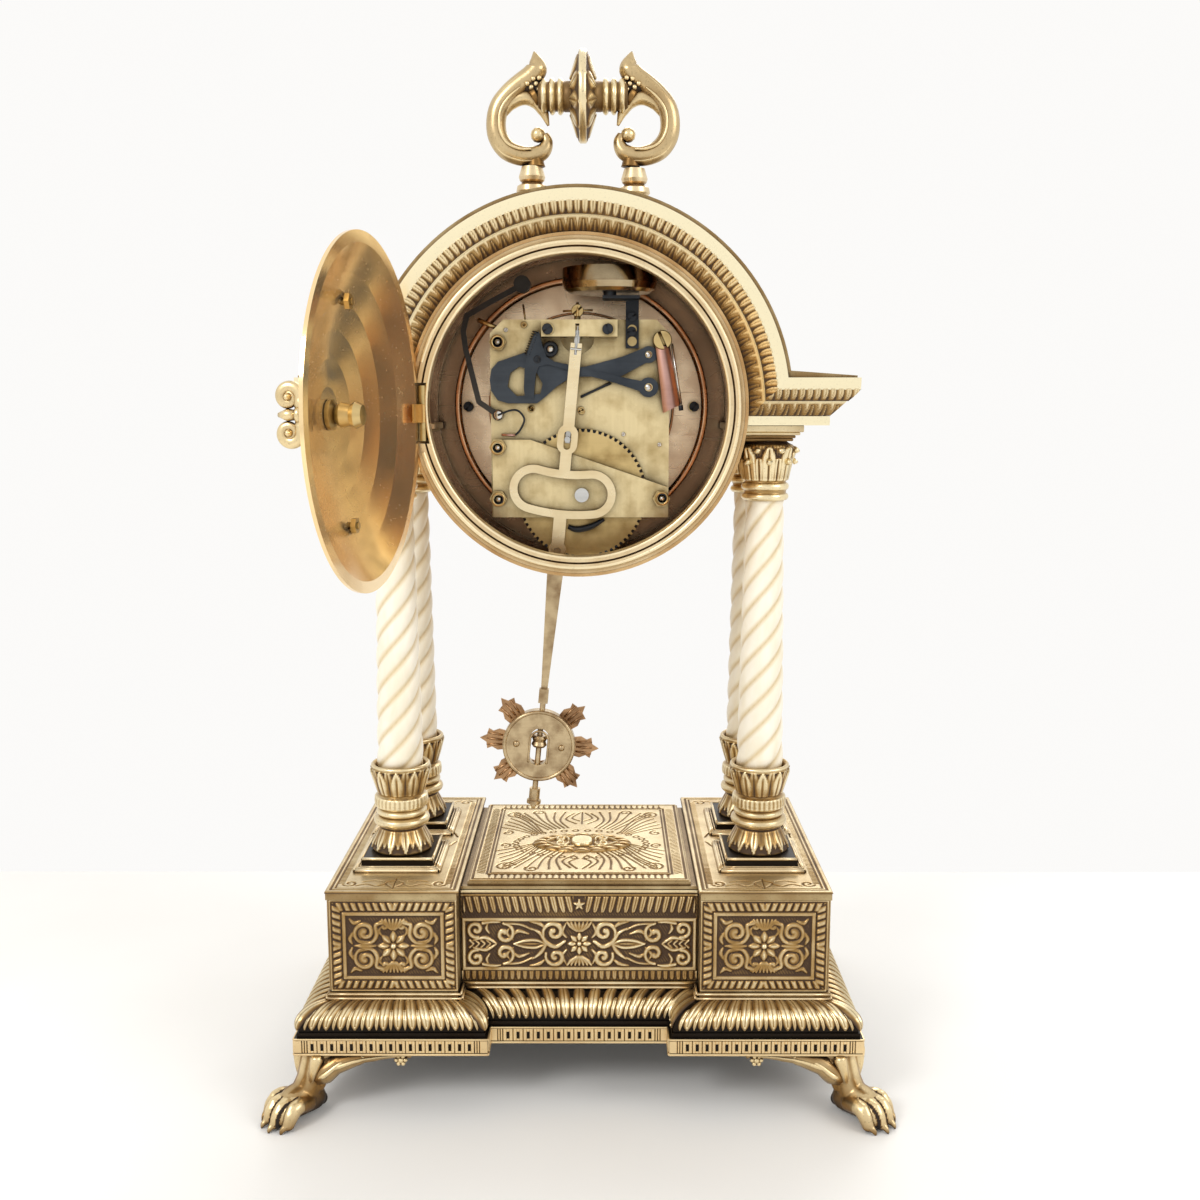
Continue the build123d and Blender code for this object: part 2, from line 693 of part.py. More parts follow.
def make_handle_bar():
    """The ringed grip with a lens-shaped disc in its middle."""
    z = dial_z + roof_radius + handle_bar_rise
    end = handle_bar_half - 0.7
    bar = handle_bar_radius
    ring = handle_ring_radius
    half = [
        (0, -end), (ring - 2.2, -end), (bar, -end + 0.8), (ring, -end + 2.2), (bar, -end + 3.6),
        (ring, -end + 5.2), (bar, -end + 6.8), (ring, -end + 8.4), (bar, -end + 10.0),
        (bar, -handle_disc_half), (handle_disc_radius - 6.0, -handle_disc_half + 0.6), (handle_disc_radius - 1.6, -2.2),
        (handle_disc_radius, -1.4)]
    other = [(r, -x) for r, x in reversed(half)]
    return turned_x(half + other, handle_x, 0, z)


def movement_outline():
    """A movement plate: a rectangle with its top corners cut off."""
    x = plate_half_width
    z0 = dial_z - plate_bottom_below_dial
    z1 = z0 + plate_height
    c = plate_chamfer
    return outline_of([(-x, z0), (x, z0), (x, z1 - c), (x - c, z1), (-x + c, z1), (-x, z1 - c)])


def pillar_spots():
    """The four pillar places, lower pair first."""
    low = dial_z - pillar_low_below_dial
    high = dial_z + pillar_top_above_dial
    return [(-pillar_x, low), (pillar_x, low), (-pillar_x, high), (pillar_x, high)]


def make_back_plate():
    """The rear plate, open for the barrel and below the cock for the crutch."""
    y0 = back_plate_y
    y1 = y0 + plate_sheet
    plate = slab(movement_outline(), y0, y1)
    plate = plate - bar_y(barrel_x, barrel_z, y0 - 1, y1 + 1, barrel_radius + 1.5)
    plate = plate - bar_y(pivot_x, pivot_z - 1.0, y0 - 1, y1 + 1, 7.0)
    plate = plate - bar_y(hammer_x, dial_z - hammer_drop, y0 - 1, y1 + 1, hammer_pin_radius + running_gap)
    for x, z in pillar_spots():
        plate = plate - bar_y(x, z, y0 - 1, y1 + 1, pillar_neck_radius + running_gap)
    plate = plate - bar_y(-pillar_x, dial_z - pillar_low_below_dial + bridge_post_above_pillar, y0 - 1, y1 + 1,
                          pillar_neck_radius + running_gap)
    return plate


def make_front_plate():
    """The plate nearer the dial, bored for the arbors."""
    y0 = front_plate_y
    y1 = y0 + plate_sheet
    plate = slab(movement_outline(), y0, y1)
    plate = plate - bar_y(0, dial_z, y0 - 1, y1 + 1, centre_arbor_radius + running_gap)
    plate = plate - bar_y(barrel_x, barrel_z, y0 - 1, y1 + 1, arbor_radius + running_gap)
    for x, z in pillar_spots():
        plate = plate - bar_y(x, z, y0 - 1, y1 + 1, pillar_neck_radius + running_gap)
    return plate


def make_pillars():
    """Four stepped pillars between the plates and on to the pan, the short post of the bridge, two studs."""
    pillars = []
    for index, (x, z) in enumerate(pillar_spots()):
        tail = bridge_y - 2.6 if index < 2 else back_plate_y - 2.6
        shank = bar_y(x, z, tail, pan_y, pillar_neck_radius)
        waist = bar_y(x, z, back_plate_y + plate_sheet, front_plate_y, pillar_radius)
        foot = bar_y(x, z, front_plate_y + plate_sheet, pan_y, pillar_radius)
        pillar = shank + waist + foot
        if index < 2:
            pillar = pillar + bar_y(x, z, bridge_y + bridge_sheet, back_plate_y, pillar_radius)
        pillars.append(pillar)
    z = dial_z - pillar_low_below_dial + bridge_post_above_pillar
    short = bar_y(-pillar_x, z, bridge_y - 2.6, back_plate_y + plate_sheet, pillar_neck_radius)
    short = short + bar_y(-pillar_x, z, bridge_y + bridge_sheet, back_plate_y, pillar_radius)
    pillars.append(short)
    return group(pillars + make_fixed_studs())


def make_barrel_bridge():
    """The triangular plate over the great wheel."""
    low = dial_z - plate_bottom_below_dial + 0.4
    outline = outline_of([
        (-plate_half_width + 1.0, low), (plate_half_width - 0.4, low), (plate_half_width - 0.4, low + 12.4),
        (-20.5, low + 32.0), (-plate_half_width + 1.0, low + 32.0)])
    y0 = bridge_y
    y1 = y0 + bridge_sheet
    plate = slab(outline, y0, y1) - bar_y(barrel_x, barrel_z, y0 - 1, y1 + 1, arbor_radius + running_gap)
    spots = pillar_spots()[:2]
    spots.append((-pillar_x, dial_z - pillar_low_below_dial + bridge_post_above_pillar))
    for x, z in spots:
        plate = plate - bar_y(x, z, y0 - 1, y1 + 1, pillar_neck_radius + running_gap)
    return plate


def make_suspension_cock():
    """The block that carries the suspension spring, hollow behind for the crutch."""
    z0 = pivot_z - 1.4
    z1 = z0 + cock_height
    y0 = pendulum_y - 2.0
    body = block(-cock_half_width, cock_half_width, y0, back_plate_y, z0, z1)
    body = body - block(pivot_x - 4.6, pivot_x + 4.6, pendulum_y + 1.6, back_plate_y + 1, z0 - 1, z1 - 1.8)
    body = body - block(pivot_x - 0.8, pivot_x + 0.8, y0 - 1, pendulum_y + 2.0, z0 - 1, z1 - 1.6)
    regulator = post(pivot_x, pendulum_y + 0.5, z1 - 0.5, z1 + 5.6, 1.3)
    return body + regulator


def make_bell():
    """A shallow cup bell with its closed side down."""
    z = dial_z + bell_above_dial
    r = bell_radius
    w = bell_wall
    profile = [
        (0, z), (r - 3.0, z), (r - 0.8, z + 1.2), (r, z + 3.6), (r, z + bell_height), (r - w, z + bell_height),
        (r - w, z + 3.8), (r - 3.2, z + w), (0, z + w)]
    return Pos(bell_x, bell_y, 0) * turned(profile)


def make_bell_strap():
    """The blued strap from the back plate to the underside of the bell."""
    x0 = 18.9
    x1 = 24.2
    z0 = dial_z + 23.9
    z1 = dial_z + bell_above_dial - 2.0
    strap = block(x0, x1, back_plate_y - 1.3, back_plate_y, z0, z1 + 1.0)
    strap = strap + block(bell_x - 3.0, x1, bell_y - 3.0, back_plate_y, z1 - 0.2, z1 + 1.0)
    return strap + post(bell_x, bell_y, z1 + 0.8, dial_z + bell_above_dial, 2.6)


def make_movement_screws():
    """Pillar nuts, screws of cock and strap, the big spring screw and the two pan screws."""
    screws = []
    for index, (x, z) in enumerate(pillar_spots()):
        y = bridge_y if index < 2 else back_plate_y
        nut = hexagon_y(x, z, y - 2.2, y, 3.6) - bar_y(x, z, y - 3, y + 1, pillar_neck_radius + running_gap)
        screws.append(nut)
    z = dial_z - pillar_low_below_dial + bridge_post_above_pillar
    nut = hexagon_y(-pillar_x, z, bridge_y - 2.2, bridge_y, 3.6)
    screws.append(nut - bar_y(-pillar_x, z, bridge_y - 3, bridge_y + 1, pillar_neck_radius + running_gap))
    for x in (-12.4, 11.9):
        screws.append(bar_y(x, pivot_z + 1.5, pendulum_y - 3.2, pendulum_y - 2.0, 2.2))
    for z in (dial_z + 26.6, dial_z + 31.4):
        screws.append(bar_y(21.5, z, back_plate_y - 2.4, back_plate_y - 1.3, 1.9))
    for x in (-50.0, 49.6):
        screws.append(bar_y(x, dial_z, pan_y - 1.6, pan_y, 2.2))
    return group(screws)


def frame_knuckles(x, y, z):
    """The two outer knuckles of a hinge, bored for the pin."""
    third = hinge_length / 3
    knuckles = []
    for start in (z - hinge_length / 2, z + third / 2 + running_gap):
        knuckle = post(x, y, start, start + third - running_gap, hinge_radius)
        knuckles.append(knuckle)
    return knuckles


def make_frame_hinges():
    """The fixed leaves of the two hinges: the rear door's and the bezel's."""
    half = hinge_length / 2
    rear_wall = -drum_half_depth
    rear = block(hinge_x - 4.4, hinge_x - 1.9, rear_wall - hinge_leaf, rear_wall, door_z - half, door_z + half)
    for knuckle in frame_knuckles(hinge_x, hinge_y, door_z):
        box = knuckle.bounding_box()
        web = block(hinge_x - 3.0, hinge_x, rear_wall - hinge_leaf, rear_wall, box.min.Z, box.max.Z)
        rear = rear + knuckle + web
    rear = rear - post(hinge_x, hinge_y, door_z - half - 1, door_z + half + 1, hinge_pin_radius + running_gap)
    front_wall = dial_y
    x = bezel_hinge_x
    front = block(x - 0.4, x + 1.2, front_wall, front_wall + hinge_leaf + 0.4, dial_z - half, dial_z + half)
    for knuckle in frame_knuckles(x, bezel_hinge_y, dial_z):
        box = knuckle.bounding_box()
        web = block(x - 0.4, x + 1.2, front_wall, bezel_hinge_y, box.min.Z, box.max.Z)
        front = front + knuckle + web
    front = front - post(x, bezel_hinge_y, dial_z - half - 1, dial_z + half + 1, hinge_pin_radius + running_gap)
    return group([rear, front])


def middle_knuckle(x, y, z):
    """The middle knuckle of a hinge with the pin that runs through all three."""
    third = hinge_length / 6 - running_gap
    return post(x, y, z - third, z + third, hinge_radius) + post(
        x, y, z - hinge_length / 2, z + hinge_length / 2, hinge_pin_radius)


def opened(shape):
    """Turn a piece of the closed rear door about its hinge, out to its resting angle."""
    axis = Axis((hinge_x, hinge_y, 0), (0, 0, 1))
    return shape.rotate(axis, -door_open_angle)


def door_face():
    """Where the flat rim of the closed door lies."""
    return -drum_half_depth - ring_proud - swing_gap


def make_rear_door():
    """A polished disc, dished outwards inside a flat rim."""
    y = door_face()
    r = door_radius
    dome = r - door_rim
    sphere = (dome ** 2 + door_dish ** 2) / (2 * door_dish)
    inner = []
    outer = []
    for step in range(7):
        radius = dome * step / 6
        depth = sqrt(sphere ** 2 - radius ** 2) - (sphere - door_dish)
        inner.append((radius, y - depth))
        outer.append((radius, y - depth - door_sheet))
    outline = inner + [(r, y), (r, y - door_sheet)] + list(reversed(outer))
    x = hinge_x + r - 0.6
    disc = turned_y(outline, x, door_z)
    hole = bar_y(x, door_z, y - 30, y + 1, 1.9 + seat_gap)
    for dz in (-door_nut_spread, door_nut_spread):
        hole = hole + bar_y(x, door_z + dz, y - 30, y + 1, 1.2 + seat_gap)
    flat = block(hinge_x - 5, hinge_x + door_flat, y - 5, y + 1, door_z - 30, door_z + 30)
    knuckle_room = post(hinge_x, hinge_y, door_z - hinge_length, door_z + hinge_length, hinge_radius + swing_gap)
    return opened(disc - hole - flat - knuckle_room)


def make_door_leaf():
    """The moving hinge leaf with its middle knuckle and pin."""
    half = hinge_length / 6 - running_gap
    face = door_face()
    knuckle = middle_knuckle(hinge_x, hinge_y, door_z)
    arm = block(hinge_x + 0.6, hinge_x + 3.4, face, hinge_y + 0.6, door_z - half, door_z + half)
    leaf = block(hinge_x + 2.6, hinge_x + 8.6, face, face + hinge_leaf - 0.25, door_z - half, door_z + half)
    return opened(knuckle + arm + leaf)


def knob_seat():
    """Where the knob's collar meets the outside of the dish."""
    return door_face() - door_dish - door_sheet


def make_door_knob():
    """The scroll knob: a collared stem and two volutes."""
    x = hinge_x + door_radius - 0.6
    z = dial_z - door_drop
    y = knob_seat()
    stem = turned_y([(0, y - 13.0), (2.6, y - 13.0), (3.2, y - 8.0), (2.2, y - 6.6), (3.8, y - 5.6), (3.8, y - 4.4),
                     (2.4, y - 3.6), (4.4, y - 2.4), (4.6, y - 0.2), (0, y - 0.2)], x, z)
    screw = bar_y(x, z, y - 1.0, y + door_sheet + 1.2, 1.9)
    knob = stem + screw
    for dz in (-6.0, 6.0):
        knob = knob + Pos(x, y - 12.6, z + dz) * Rot(0, 90, 0) * Cylinder(4.7, 5.4)
    return opened(knob + block(x - 2.2, x + 2.2, y - 15.0, y - 8.0, z - 6.0, z + 6.0))


def make_door_fittings():
    """The turned stud and the two small nuts on the inside of the door."""
    x = hinge_x + door_radius - 0.6
    z = dial_z - door_drop
    y = knob_seat() + door_sheet
    stud = turned_y([(2.0, y + 0.3), (5.2, y + 0.5), (5.2, y + 2.0), (3.0, y + 3.0), (4.4, y + 5.0), (3.6, y + 8.2),
                     (4.6, y + 10.0), (3.4, y + 12.4), (0, y + 12.6), (0, y + 1.6), (2.0, y + 1.6)], x, z)
    pieces = [opened(stud)]
    dome = door_radius - door_rim
    sphere = (dome ** 2 + door_dish ** 2) / (2 * door_dish)
    depth = sqrt(sphere ** 2 - door_nut_spread ** 2) - (sphere - door_dish)
    for dz in (-door_nut_spread, door_nut_spread):
        seat = door_face() - depth
        bolt = bar_y(x, z + dz, seat - door_sheet - 0.4, seat + 3.8, 1.2)
        nut = hexagon_y(x, z + dz, seat + 1.4, seat + 3.1, 2.9)
        pieces.append(opened(bolt + nut))
    return group(pieces)


def make_bezel():
    """The front ring that holds the glass, with its hinge lug."""
    y = bezel_y
    seat = y + 2.0
    ring = turned_y([
        (bezel_inner_radius, seat + glass_thickness), (bezel_inner_radius, y + bezel_height - 1.0),
        (bezel_inner_radius + 2.0, y + bezel_height), (bezel_outer_radius - 2.4, y + bezel_height - 0.6),
        (bezel_outer_radius, y + 2.4), (bezel_outer_radius, y), (glass_radius + seat_gap, y),
        (glass_radius + seat_gap, seat + glass_thickness)], 0, dial_z)
    keeper = turned_y([
        (bezel_inner_radius + 1.0, seat - 0.8), (glass_radius + seat_gap + 0.4, seat - 0.8),
        (glass_radius + seat_gap + 0.4, seat), (bezel_inner_radius + 1.0, seat)], 0, dial_z)
    half = hinge_length / 2 + hinge_notch_margin
    notch = block(bezel_hinge_x - 6.0, bezel_hinge_x + 2.2, y - 1, y + bezel_height + 1, dial_z - half, dial_z + half)
    third = hinge_length / 6 - running_gap
    arm = block(bezel_hinge_x, bezel_hinge_x + 2.6, bezel_hinge_y - 0.8, bezel_hinge_y + 1.4, dial_z - third, dial_z + third)
    return (ring + keeper - notch) + arm + middle_knuckle(bezel_hinge_x, bezel_hinge_y, dial_z)


def make_dial_glass():
    """The flat glass in the bezel."""
    seat = bezel_y + 2.0
    return bar_y(0, dial_z, seat + 0.02, seat + glass_thickness - 0.02, glass_radius)


def leaning(shape):
    """Turn a piece that was drawn hanging straight down to the resting angle of the pendulum."""
    return shape.rotate(Axis((pivot_x, 0, pivot_z), (0, 1, 0)), pendulum_tilt)


def make_pendulum_leader():
    """The flat strip with its fork, its crutch eye, its curved loop and its hook."""
    x = pivot_x
    z = pivot_z
    strip = Pos(x, z - (4.0 + eye_drop) / 2) * Rectangle(leader_width, eye_drop - 4.0)
    strip = strip - Pos(x, z - 6.2) * Rectangle(1.1, 5.0)
    eye = Pos(x, z - eye_drop) * Rot(0, 0, 90) * SlotOverall(eye_height, eye_width)
    eye_end = eye_drop + eye_height / 2 - 1.0
    loop_start = loop_drop - loop_width / 2 + 1.0
    below = Pos(x, z - (eye_end + loop_start) / 2) * Rectangle(leader_width, loop_start - eye_end)
    path = CenterArc((x, z), loop_drop, -90 - loop_half_angle, 2 * loop_half_angle)
    outside = SlotArc(path, loop_width)
    window = SlotArc(path, loop_width - 2 * loop_band)
    tail = Pos(x, z - (loop_drop + loop_width / 2 + hook_drop) / 2 + 0.6)
    tail = tail * Rectangle(leader_width + 0.6, hook_drop - loop_drop - loop_width / 2 + 1.2)
    head = Pos(x, z - hook_drop) * Circle(3.6) - Pos(x, z - hook_drop - 0.6) * Circle(1.5)
    slot = Pos(x, z - eye_drop - 0.4) * Rot(0, 0, 90) * SlotOverall(7.6, 2.9)
    drawing = (strip + eye + below + tail + outside) - window - slot
    drawing = (drawing - Pos(x, z - hook_drop) * Circle(3.4)) + head
    half = leader_sheet / 2
    return leaning(slab(drawing, pendulum_y - half, pendulum_y + half))


def make_suspension_spring():
    """The thin spring strip between the cock and the leader, with its cross pin."""
    strip = block(pivot_x - 0.15, pivot_x + 0.15, pendulum_y - 1.7, pendulum_y + 1.7, pivot_z - 8.2, pivot_z + 2.8)
    pin = Pos(pivot_x, pendulum_y - 1.15, pivot_z - 6.4) * Rot(0, 90, 0) * Cylinder(0.5, 4.4)
    return leaning(strip + pin)


def make_pendulum_rod():
    """The flat rod that hangs in the hook, its thread and its tail."""
    half = rod_sheet / 2
    y0 = pendulum_y + leader_sheet / 2 + 0.1
    y1 = y0 + rod_sheet
    z = pivot_z
    flat = outline_of([
        (pivot_x - 2.4, z - rod_top_drop), (pivot_x + 2.4, z - rod_top_drop),
        (pivot_x + rod_width_top / 2, z - hook_drop - 6.0), (pivot_x + rod_width_low / 2, z - rod_end_drop),
        (pivot_x - rod_width_low / 2, z - rod_end_drop), (pivot_x - rod_width_top / 2, z - hook_drop - 6.0)])
    body = slab(flat, y0, y1)
    pin = bar_y(pivot_x, z - hook_drop - 0.6, pendulum_y - leader_sheet / 2 - 0.8, y0 + 0.2, 1.2)
    neck = block(pivot_x - 2.0, pivot_x + 2.0, pendulum_y - 1.6, y1 + 0.2, z - rod_end_drop - 4.0, z - rod_end_drop + 2.0)
    thread = post(pivot_x, pendulum_y, z - tail_end_drop + 1.0, z - rod_end_drop + half, thread_radius)
    tail = Pos(pivot_x, pendulum_y, z) * turned([
        (0, -tail_end_drop), (0.8, -tail_end_drop), (1.1, -tail_end_drop + 2.0), (3.0, -tail_end_drop + 2.4),
        (3.0, -tail_end_drop + 3.8), (tail_radius, -tail_end_drop + 4.4), (tail_radius, -tail_top_drop), (0, -tail_top_drop)])
    return leaning(body + pin + neck + thread + tail)


def make_pendulum_bob():
    """The disc of the bob, bored for the thread and open round the rating nut."""
    z = pivot_z - bob_drop
    half = bob_thickness / 2
    disc = bar_y(pivot_x, z, pendulum_y - half, pendulum_y + half, bob_radius)
    disc = disc - post(pivot_x, pendulum_y, z - bob_radius - 1, z + bob_radius + 1, thread_radius + running_gap)
    window = Pos(pivot_x, z - 0.5) * Rot(0, 0, 90) * SlotOverall(bob_window_height, 2 * bob_window_half)
    return leaning(disc - slab(window, pendulum_y - half - 1, pendulum_y + half + 1))


def make_bob_sunburst():
    """Eight lobed rays behind the disc of the bob."""
    z = pivot_z - bob_drop
    y0 = pendulum_y + bob_thickness / 2
    drawing = Pos(pivot_x, z) * Circle(bob_radius - 0.5)
    for turn in range(8):
        if turn * 45 in (90, 270):
            continue
        lobe = outline_of([(-3.2, 10.0), (3.2, 10.0), (4.6, 17.5), (3.4, 20.0), (4.4, 22.0), (1.6, 22.6), (0, ray_radius),
                           (-1.6, 22.6), (-4.4, 22.0), (-3.4, 20.0), (-4.6, 17.5)])
        drawing = drawing + Pos(pivot_x, z) * Rot(0, 0, turn * 45 + 90) * lobe
    drawing = drawing - Pos(pivot_x, z) * Circle(bob_window_half + 4.2)
    return leaning(slab(drawing, y0, y0 + ray_sheet))


def make_rating_nut():
    """The turned nut in the window of the bob, free on the thread."""
    z = pivot_z - bob_drop + 1.6
    r = rating_nut_radius
    h = rating_nut_height / 2
    bore = thread_radius + running_gap
    nut = turned([(bore, -h), (r - 0.8, -h), (r, -h + 1.0), (r - 0.6, 0), (r, h - 1.0), (r - 0.8, h), (bore, h)])
    return leaning(Pos(pivot_x, pendulum_y, z) * nut)


def make_crutch():
    """The crutch arbor, its flat arm and the pin that runs in the eye of the leader."""
    sheet = lever_sheet
    arm = block(pivot_x - 1.0, pivot_x + 1.0, crutch_y - sheet / 2, crutch_y + sheet / 2, pivot_z - eye_drop - 1.6, pivot_z)
    hub = bar_y(pivot_x, pivot_z, crutch_y - 1.2, front_plate_y - 3.0, 1.3)
    pin = bar_y(pivot_x, pivot_z - eye_drop, pendulum_y - 2.0, crutch_y, 1.2)
    return leaning(arm + hub + pin)


def wheel_outline(radius, teeth, depth):
    """A toothed wheel seen along its axis."""
    points = []
    pitch = 2 * pi / teeth
    for tooth in range(teeth):
        base = tooth * pitch
        for share, reach in ((0.0, -depth), (0.28, -depth), (0.42, 0.0), (0.72, 0.0), (0.86, -depth)):
            turn = base + share * pitch
            points.append(((radius + reach) * cos(turn), (radius + reach) * sin(turn)))
    return outline_of(points)


def make_great_wheel():
    """The great wheel with the barrel of the mainspring behind it."""
    y0 = back_plate_y - great_wheel_gap - great_wheel_sheet
    y1 = y0 + great_wheel_sheet
    bore = arbor_radius + running_gap
    wheel = slab(Pos(barrel_x, barrel_z) * wheel_outline(great_wheel_radius, great_wheel_teeth, 1.3), y0, y1)
    barrel = turned_y([
        (bore, y0), (barrel_radius, y0), (barrel_radius, y0 + barrel_length), (bore, y0 + barrel_length),
        (bore, y0 + barrel_length - barrel_wall), (barrel_radius - barrel_wall, y0 + barrel_length - barrel_wall),
        (barrel_radius - barrel_wall, y1), (bore, y1)], barrel_x, barrel_z)
    return (wheel - bar_y(barrel_x, barrel_z, y0 - 1, y1 + 1, bore)) + barrel


def make_winding_arbor():
    """The arbor of the barrel, from its bright head to the winding square behind the dial hole."""
    y0 = bridge_y - arbor_head_length
    end = dial_y + dial_thickness - 0.6
    shaft = bar_y(barrel_x, barrel_z, y0 + 1.0, end - 9.0, arbor_radius)
    head = bar_y(barrel_x, barrel_z, y0, bridge_y - running_gap, arbor_head_radius)
    square = slab(Pos(barrel_x, barrel_z) * Rectangle(winding_square, winding_square), end - 9.5, end)
    return shaft + head + square


def make_strike_rack():
    """The blued rack: a toothed sector on a long arm."""
    hub = Pos(rack_hub_x, dial_z + rack_hub_rise)
    blade = [
        (-16.6, 30.6), (-19.0, 28.4), (-21.3, 22.4), (-22.6, 15.2), (-23.0, 8.0), (-22.6, 4.2), (-19.0, 3.4),
        (-18.0, 13.4), (-16.6, 16.6), (-12.9, 17.3), (0.8, 13.4), (13.6, 10.1), (26.0, 6.0), (27.4, 10.2),
        (15.5, 12.5), (0.8, 16.1), (-10.2, 18.4), (-13.6, 20.4), (-15.1, 24.4)]
    drawing = outline_of([(x, dial_z + rise) for x, rise in blade]) + hub * Circle(4.0)
    drawing = drawing - hub * Circle(rack_stud_radius + running_gap) - Pos(-17.3, dial_z + 19.3) * Circle(1.2)
    return slab(drawing, rack_y - lever_sheet / 2, rack_y + lever_sheet / 2)


def make_rack_lever():
    """The blued lever with its rounded frame behind the rack."""
    hub = Pos(lever_hub_x, dial_z + lever_hub_rise)
    blade = [
        (27.0, 24.2), (17.3, 20.4), (2.6, 16.5), (-6.6, 15.4), (-14.6, 19.8), (-22.1, 22.3), (-28.6, 20.1),
        (-33.7, 18.4), (-36.4, 15.3), (-37.1, 11.2), (-36.6, 6.7), (-33.9, 2.8), (-29.7, 1.5), (-17.7, 1.5),
        (-14.0, 4.4), (-9.4, 8.5), (-4.7, 11.5), (0.8, 12.4), (16.4, 12.2), (27.4, 18.0)]
    window = [(-28.6, 13.9), (-24.9, 16.5), (-17.6, 13.9), (-15.3, 9.4), (-16.3, 5.3), (-26.0, 4.4), (-29.8, 8.4)]
    drawing = outline_of([(x, dial_z + rise) for x, rise in blade]) + hub * Circle(3.4)
    drawing = drawing - outline_of([(x, dial_z + rise) for x, rise in window])
    drawing = drawing - hub * Circle(lever_stud_radius + running_gap)
    return slab(drawing, lever_y - lever_sheet / 2, lever_y + lever_sheet / 2)


def make_bell_hammer():
    """The hammer: a bent arm with its pivot in the back plate and a round head."""
    path = [(hammer_x, -hammer_drop), (-41.7, 2.1), (-46.9, 23.9), (-47.7, 30.6), (-46.2, 36.9), (-37.5, 41.8),
            (-23.3, 49.3)]
    path = [(x, dial_z + rise) for x, rise in path]

    def link(start, end, width):
        length = sqrt((end[0] - start[0]) ** 2 + (end[1] - start[1]) ** 2)
        turn = degrees(atan2(end[1] - start[1], end[0] - start[0]))
        spot = Pos((start[0] + end[0]) / 2, (start[1] + end[1]) / 2)
        return spot * Rot(0, 0, turn) * SlotOverall(length + width, width)

    body = bar_y(path[-1][0], path[-1][1], -9.0, -3.0, 3.4)
    for start, end in zip(path, path[1:]):
        body = body + slab(link(start, end, 2.2), -6.0, -4.8)
    x, z = path[0]
    hub = bar_y(x, z, -6.4, back_plate_y - seat_gap, 2.2)
    return body + hub + bar_y(x, z, -6.0, back_plate_y + plate_sheet + 1.0, hammer_pin_radius)


def make_fixed_studs():
    """Shouldered studs on the back plate for the rack and the lever."""
    y = back_plate_y
    z = dial_z + rack_hub_rise
    rack_stud = bar_y(rack_hub_x, z, rack_y - 1.4, y, rack_stud_radius)
    rack_stud = rack_stud + bar_y(rack_hub_x, z, rack_y + lever_sheet / 2 + seat_gap, y, rack_stud_radius + 1.4)
    z = dial_z + lever_hub_rise
    lever_stud = bar_y(lever_hub_x, z, lever_y - 1.4, y, lever_stud_radius)
    lever_stud = lever_stud + bar_y(lever_hub_x, z, lever_y + lever_sheet / 2 + seat_gap, y, lever_stud_radius + 1.2)
    return [rack_stud, lever_stud]


def hand_outline(length, width):
    """A spade hand that points up."""
    return outline_of([
        (-width, -9.0), (width, -9.0), (width * 0.6, 0.0), (width * 0.5, length * 0.6), (width * 1.5, length * 0.7),
        (0, length), (-width * 1.5, length * 0.7), (-width * 0.5, length * 0.6), (-width * 0.6, 0.0)])


def make_minute_hand():
    """The long hand on the centre arbor, with the centre wheel between the plates."""
    y0 = dial_y + dial_thickness + 1.2
    drawing = Rot(0, 0, minute_hand_angle) * hand_outline(minute_hand_length, 1.5) + Circle(3.2)
    hand = slab(Pos(0, dial_z) * drawing, y0, y0 + hand_sheet)
    arbor = bar_y(0, dial_z, front_plate_y - 12.0, y0 + 1.0, centre_arbor_radius)
    wheel = slab(Pos(0, dial_z) * wheel_outline(12.0, 36, 1.0), front_plate_y - 8.0, front_plate_y - 6.8)
    return hand + arbor + wheel


def make_hour_hand():
    """The short hand on its pipe, free on the centre arbor."""
    y0 = dial_y + dial_thickness + 0.4
    drawing = Rot(0, 0, hour_hand_angle) * hand_outline(hour_hand_length, 1.8) + Circle(4.0)
    hand = slab(Pos(0, dial_z) * drawing, y0, y0 + hand_sheet)
    pipe = bar_y(0, dial_z, front_plate_y + plate_sheet + 0.3, y0 + hand_sheet, hour_pipe_radius)
    return (hand + pipe) - bar_y(0, dial_z, 0, 80, centre_arbor_radius + running_gap)


os.makedirs("parts", exist_ok=True)

save("base_plinth", make_base_plinth())
save("bottom_cover", make_bottom_cover())
save("pedestal_left", make_pedestal(-1))
save("pedestal_right", make_pedestal(1))
save("centre_box", make_centre_box())
save("side_plates", group([make_side_plate(-1), make_side_plate(1)]))
save("centre_top_plate", make_centre_top_plate())
save("top_medallion", make_top_medallion())
for spot_name, (spot_x, spot_y) in zip(spot_names, column_spots):
    save(f"paw_foot_{spot_name}", make_paw_foot(spot_x, spot_y))
    save(f"column_shaft_{spot_name}", make_column_shaft(spot_x, spot_y))
save("column_plinths", group([make_column_plinth(x, y) for x, y in column_spots]))
save("column_bases", group([make_column_base(x, y) for x, y in column_spots]))
save("column_capitals", group([make_column_capital(x, y) for x, y in column_spots]))
save("column_tie_rods", group([make_tie_rod(x, y) for x, y in column_spots]))

cornice_rear = make_cornice_rear()
save("cornice_rear", cornice_rear)
save("cornice_front", mirror(cornice_rear, Plane.XZ))
save("arch_roof", make_arch_roof())
save("drum_shell", make_drum_shell())
save("rear_ring", make_rear_ring())
save("dial_pan", make_dial_pan())
save("dial", make_dial())

save("handle_feet", group([make_handle_foot(-1), make_handle_foot(1)]))
save("handle_scroll_left", make_handle_scroll(-1))
save("handle_scroll_right", make_handle_scroll(1))
save("handle_bar", make_handle_bar())

save("movement_back_plate", make_back_plate())
save("movement_front_plate", make_front_plate())
save("movement_pillars", make_pillars())
save("barrel_bridge", make_barrel_bridge())
save("suspension_cock", make_suspension_cock())
save("bell", make_bell())
save("bell_strap", make_bell_strap())
save("movement_screws", make_movement_screws())

